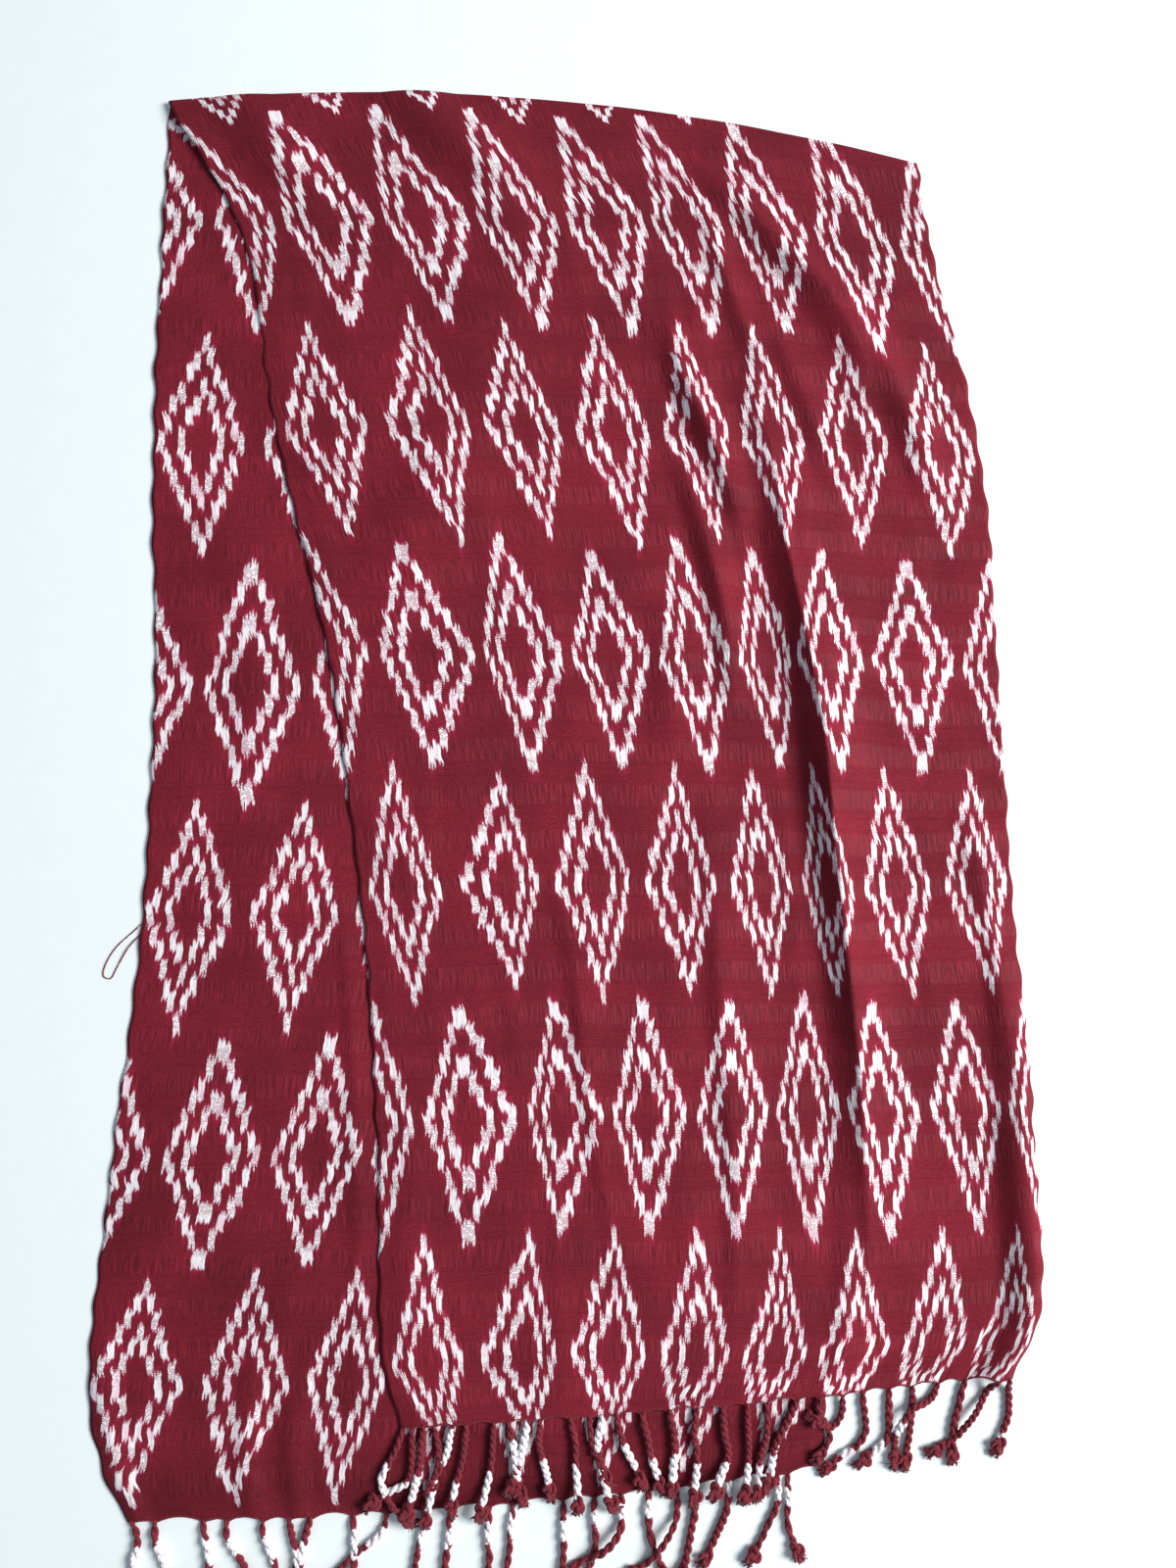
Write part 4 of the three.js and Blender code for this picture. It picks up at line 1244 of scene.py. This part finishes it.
def bump(wire, height, distance):
    node = wire.node("ShaderNodeBump")
    node.inputs["Strength"].default_value = 1.0
    node.inputs["Distance"].default_value = distance
    wire.feed(node.inputs["Height"], height)
    return node.outputs[0]


CLOUD_SCALE = 16.0  # the dye is cloudy
CLOUD_EDGE = (0.30, 0.70)
CLOUD_SHADE = 0.30
COTTON_SHADE = 0.85
# The cloth is painted darker by the fold and towards the lower half's end, as painted shade where the light
# falls off, and darker again at its hem. The first place is where that begins and the second is where it is
# full, in metres along the pattern.
FOLD_MIDDLE = 0.03
AT_FOLD = (0.24, 0.04)
AT_END = (-0.55, -0.80)
AT_HEM = (-0.925, -0.972)
# painted shade by the fold and towards the lower half's end, where the light falls off
PAINTED_FALLOFF_SHADE = -0.13
HEM_SHADE = -0.14
RIBBED_ROUGHNESS = 0.80
CRINKLE_POLISH = -0.14  # change of the roughness in the puckered bands


def ikat_cotton(ikat, weave, colours):
    """The dyed and woven cloth."""
    material, wire, shader = new_material("Ikat cotton")
    m = wire.math
    plan, chart = wire.uv("ClothPlan"), wire.uv("DiamondChart")
    woven = wire.group(weave, Plan=plan)
    warp = wire.group(ikat, Plan=plan, Chart=chart, Crinkle=woven["Crinkle"])
    cloudy = wire.ramp(wire.noise(plan, CLOUD_SCALE, 3.0), *CLOUD_EDGE)
    along = wire.split(plan)[1]
    at_fold = wire.ramp(m("ABSOLUTE", m("SUBTRACT", along, FOLD_MIDDLE)), *AT_FOLD)
    at_end = wire.ramp(along, *AT_END)
    at_hem = wire.ramp(along, *AT_HEM)
    # painted shade by the fold and towards the lower half's end, then darker at the hem
    falloff_and_hem = m("MULTIPLY_ADD", m("MAXIMUM", at_fold, at_end), PAINTED_FALLOFF_SHADE, COTTON_SHADE)
    falloff_and_hem = m("MULTIPLY_ADD", at_hem, HEM_SHADE, falloff_and_hem)
    shade = m("MULTIPLY", woven["Shade"], m("MULTIPLY_ADD", cloudy, CLOUD_SHADE, falloff_and_hem))
    dye = {name: warp[name] for name in ("Undyed", "Bleed", "Blush")}
    wire.feed(shader["Base Color"], wire.group(colours, Shade=shade, **dye)["Color"])
    wire.feed(shader["Roughness"], m("MULTIPLY_ADD", woven["Crinkle"], CRINKLE_POLISH, RIBBED_ROUGHNESS))
    wire.feed(shader["Normal"], bump(wire, woven["Height"], 1.0 * MM))
    shader["Specular IOR Level"].default_value = 0.2
    shader["Sheen Weight"].default_value = 0.05
    shader["Sheen Roughness"].default_value = 0.4
    shader["Sheen Tint"].default_value = (0.95, 0.35, 0.45, 1)
    return material


FIBRE_PLAN = (130.0, 60.0)  # fibres and mottles of the yarn, round it and along it
FIBRE_SCALE = 2.2
MOTTLE_PLAN = (60.0, 180.0)
MOTTLE_SCALE = 1.6
YARN_TWIST = (800 * math.pi, 2200.0)  # the singles in a ply wind round it at this slant
MOTTLED_EDGE = 1.3
PALE_EDGE = (0.38, 0.62)
YARN_BLEED_EDGE = (0.05, 0.45)
YARN_BLEED_DEPTH = 0.9
YARN_BLUSH_EDGE = (0.55, 0.75)
YARN_SHADE = 0.98
FIBRE_SHADE = 0.9
# painted shade in the grooves between the twisted singles, painted light on their crests
SINGLES_PAINTED_SHADE = 0.14
SINGLES_HEIGHT = 0.22
FIBRE_HEIGHT = 0.5


def fringe_yarn(colours):
    """The fringe's twisted yarn."""
    material, wire, shader = new_material("Fringe yarn")
    m = wire.math
    around, length = wire.split(wire.uv("StrandPlan"))
    undyed, seed = wire.split(wire.uv("StrandDye"))

    def squeezed(plan):
        return m("MULTIPLY", around, plan[0]), m("MULTIPLY", length, plan[1])

    fibre = wire.noise(wire.join(*squeezed(FIBRE_PLAN), seed), FIBRE_SCALE, 2.0)
    mottle = wire.noise(wire.join(*squeezed(MOTTLE_PLAN), seed), MOTTLE_SCALE, 2.0)
    edge = wire.vary(undyed, mottle, MOTTLED_EDGE)
    pale = wire.ramp(edge, *PALE_EDGE)
    bleed = m("MULTIPLY", wire.ramp(edge, *YARN_BLEED_EDGE), YARN_BLEED_DEPTH)
    blush = wire.ramp(mottle, *YARN_BLUSH_EDGE)
    singles = m("SINE", m("ADD", *squeezed(YARN_TWIST)))
    # painted shade in the grooves between the singles, lighter on their crests
    shade = m("MULTIPLY_ADD", singles, SINGLES_PAINTED_SHADE, wire.vary(YARN_SHADE, fibre, FIBRE_SHADE))
    color = wire.group(colours, Undyed=pale, Bleed=bleed, Blush=blush, Shade=shade)
    wire.feed(shader["Base Color"], color["Color"])
    height = m("MULTIPLY_ADD", singles, SINGLES_HEIGHT, m("MULTIPLY", fibre, FIBRE_HEIGHT))
    wire.feed(shader["Normal"], bump(wire, height, 0.6 * MM))
    wire.feed(shader["Roughness"], m("MULTIPLY_ADD", fibre, 0.2, 0.68))
    shader["Specular IOR Level"].default_value = 0.3
    shader["Sheen Weight"].default_value = 0.15
    return material


TABLE_COLORS = (0.84, 0.915, 0.93, 1), (0.875, 0.94, 0.95, 1)
TABLE_SIZE = 8.0


def table_top():
    material, wire, shader = new_material("Pale table")
    place = wire.node("ShaderNodeTexCoord").outputs["Object"]
    fine = wire.noise(place, 60.0, 3.0)
    wire.feed(shader["Base Color"], wire.blend(fine, *TABLE_COLORS))
    wire.feed(shader["Roughness"], wire.math("MULTIPLY_ADD", fine, 0.1, 0.55))
    shader["Specular IOR Level"].default_value = 0.2
    bpy.ops.mesh.primitive_plane_add(size=TABLE_SIZE)
    floor = bpy.context.object
    floor.name = "Table"
    floor.data.materials.append(material)


# --- Camera and light -----------------------------------------------------------------------------
CAMERA_TARGET = Vector((0.016, 0.035, 0))
CAMERA_TILT = math.radians(3.4)  # off the vertical
CAMERA_DISTANCE = 0.870
CAMERA_LENS = 28.8
WINDOW_PLACE = (2.75, 0.25, 2.25)
WINDOW_SIZE = 1.9
WINDOW_POWER = 198.0
WINDOW_COLOR = (1.0, 0.975, 0.94)
ROOM_COLOR = (0.76, 0.88, 1.0, 1)
ROOM_STRENGTH = 0.325


def place_camera():
    data = bpy.data.cameras.new("Camera")
    data.lens = CAMERA_LENS
    data.sensor_width = 36
    data.clip_start = 0.01
    camera = bpy.data.objects.new("Camera", data)
    back = Vector((0, -math.sin(CAMERA_TILT), math.cos(CAMERA_TILT)))
    camera.location = CAMERA_TARGET + back * CAMERA_DISTANCE
    camera.rotation_euler = (CAMERA_TILT, 0, 0)
    bpy.context.scene.collection.objects.link(camera)
    bpy.context.scene.camera = camera


def window_light():
    data = bpy.data.lights.new("Window", "AREA")
    data.shape = "DISK"
    data.size = WINDOW_SIZE
    data.energy = WINDOW_POWER
    data.color = WINDOW_COLOR
    light = bpy.data.objects.new("Window", data)
    light.location = WINDOW_PLACE
    light.rotation_euler = (-Vector(WINDOW_PLACE)).to_track_quat("-Z", "Y").to_euler()
    bpy.context.scene.collection.objects.link(light)


def room_light():
    world = bpy.data.worlds.new("Room")
    world.use_nodes = True
    background = world.node_tree.nodes["Background"]
    background.inputs["Color"].default_value = ROOM_COLOR
    background.inputs["Strength"].default_value = ROOM_STRENGTH
    bpy.context.scene.world = world
    bpy.context.scene.view_settings.view_transform = "Standard"


# --- The scarf ------------------------------------------------------------------------------------
place_camera()
window_light()
room_light()
table_top()

colours = dye_colour_group()
cotton = ikat_cotton(ikat_group(tied_diamonds_group()), banded_weave_group(), colours)
yarn = fringe_yarn(colours)

upper = upper_half(cotton)
lower = lower_half(cotton)
upper_fringe = fringe(
    "UpperFringe", UPPER_STRANDS, upper_plan, UPPER_LENGTH, upper_height, upper_strand_floor,
    pitch=UPPER_TWIST_PITCH, seed=300, material=yarn,
)
lower_fringe = fringe(
    "LowerFringe", LOWER_STRANDS, lower_plan, LOWER_LENGTH, lower_height, lower_strand_floor,
    pitch=LOWER_TWIST_PITCH, seed=600, material=yarn,
)
thread = loose_thread(yarn)

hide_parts("upper_layer", "top_fold")
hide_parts("lower_layer")
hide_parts("upper_fringe")
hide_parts("lower_fringe")
for piece in (upper, lower, upper_fringe, lower_fringe, thread):
    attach(piece, "root")
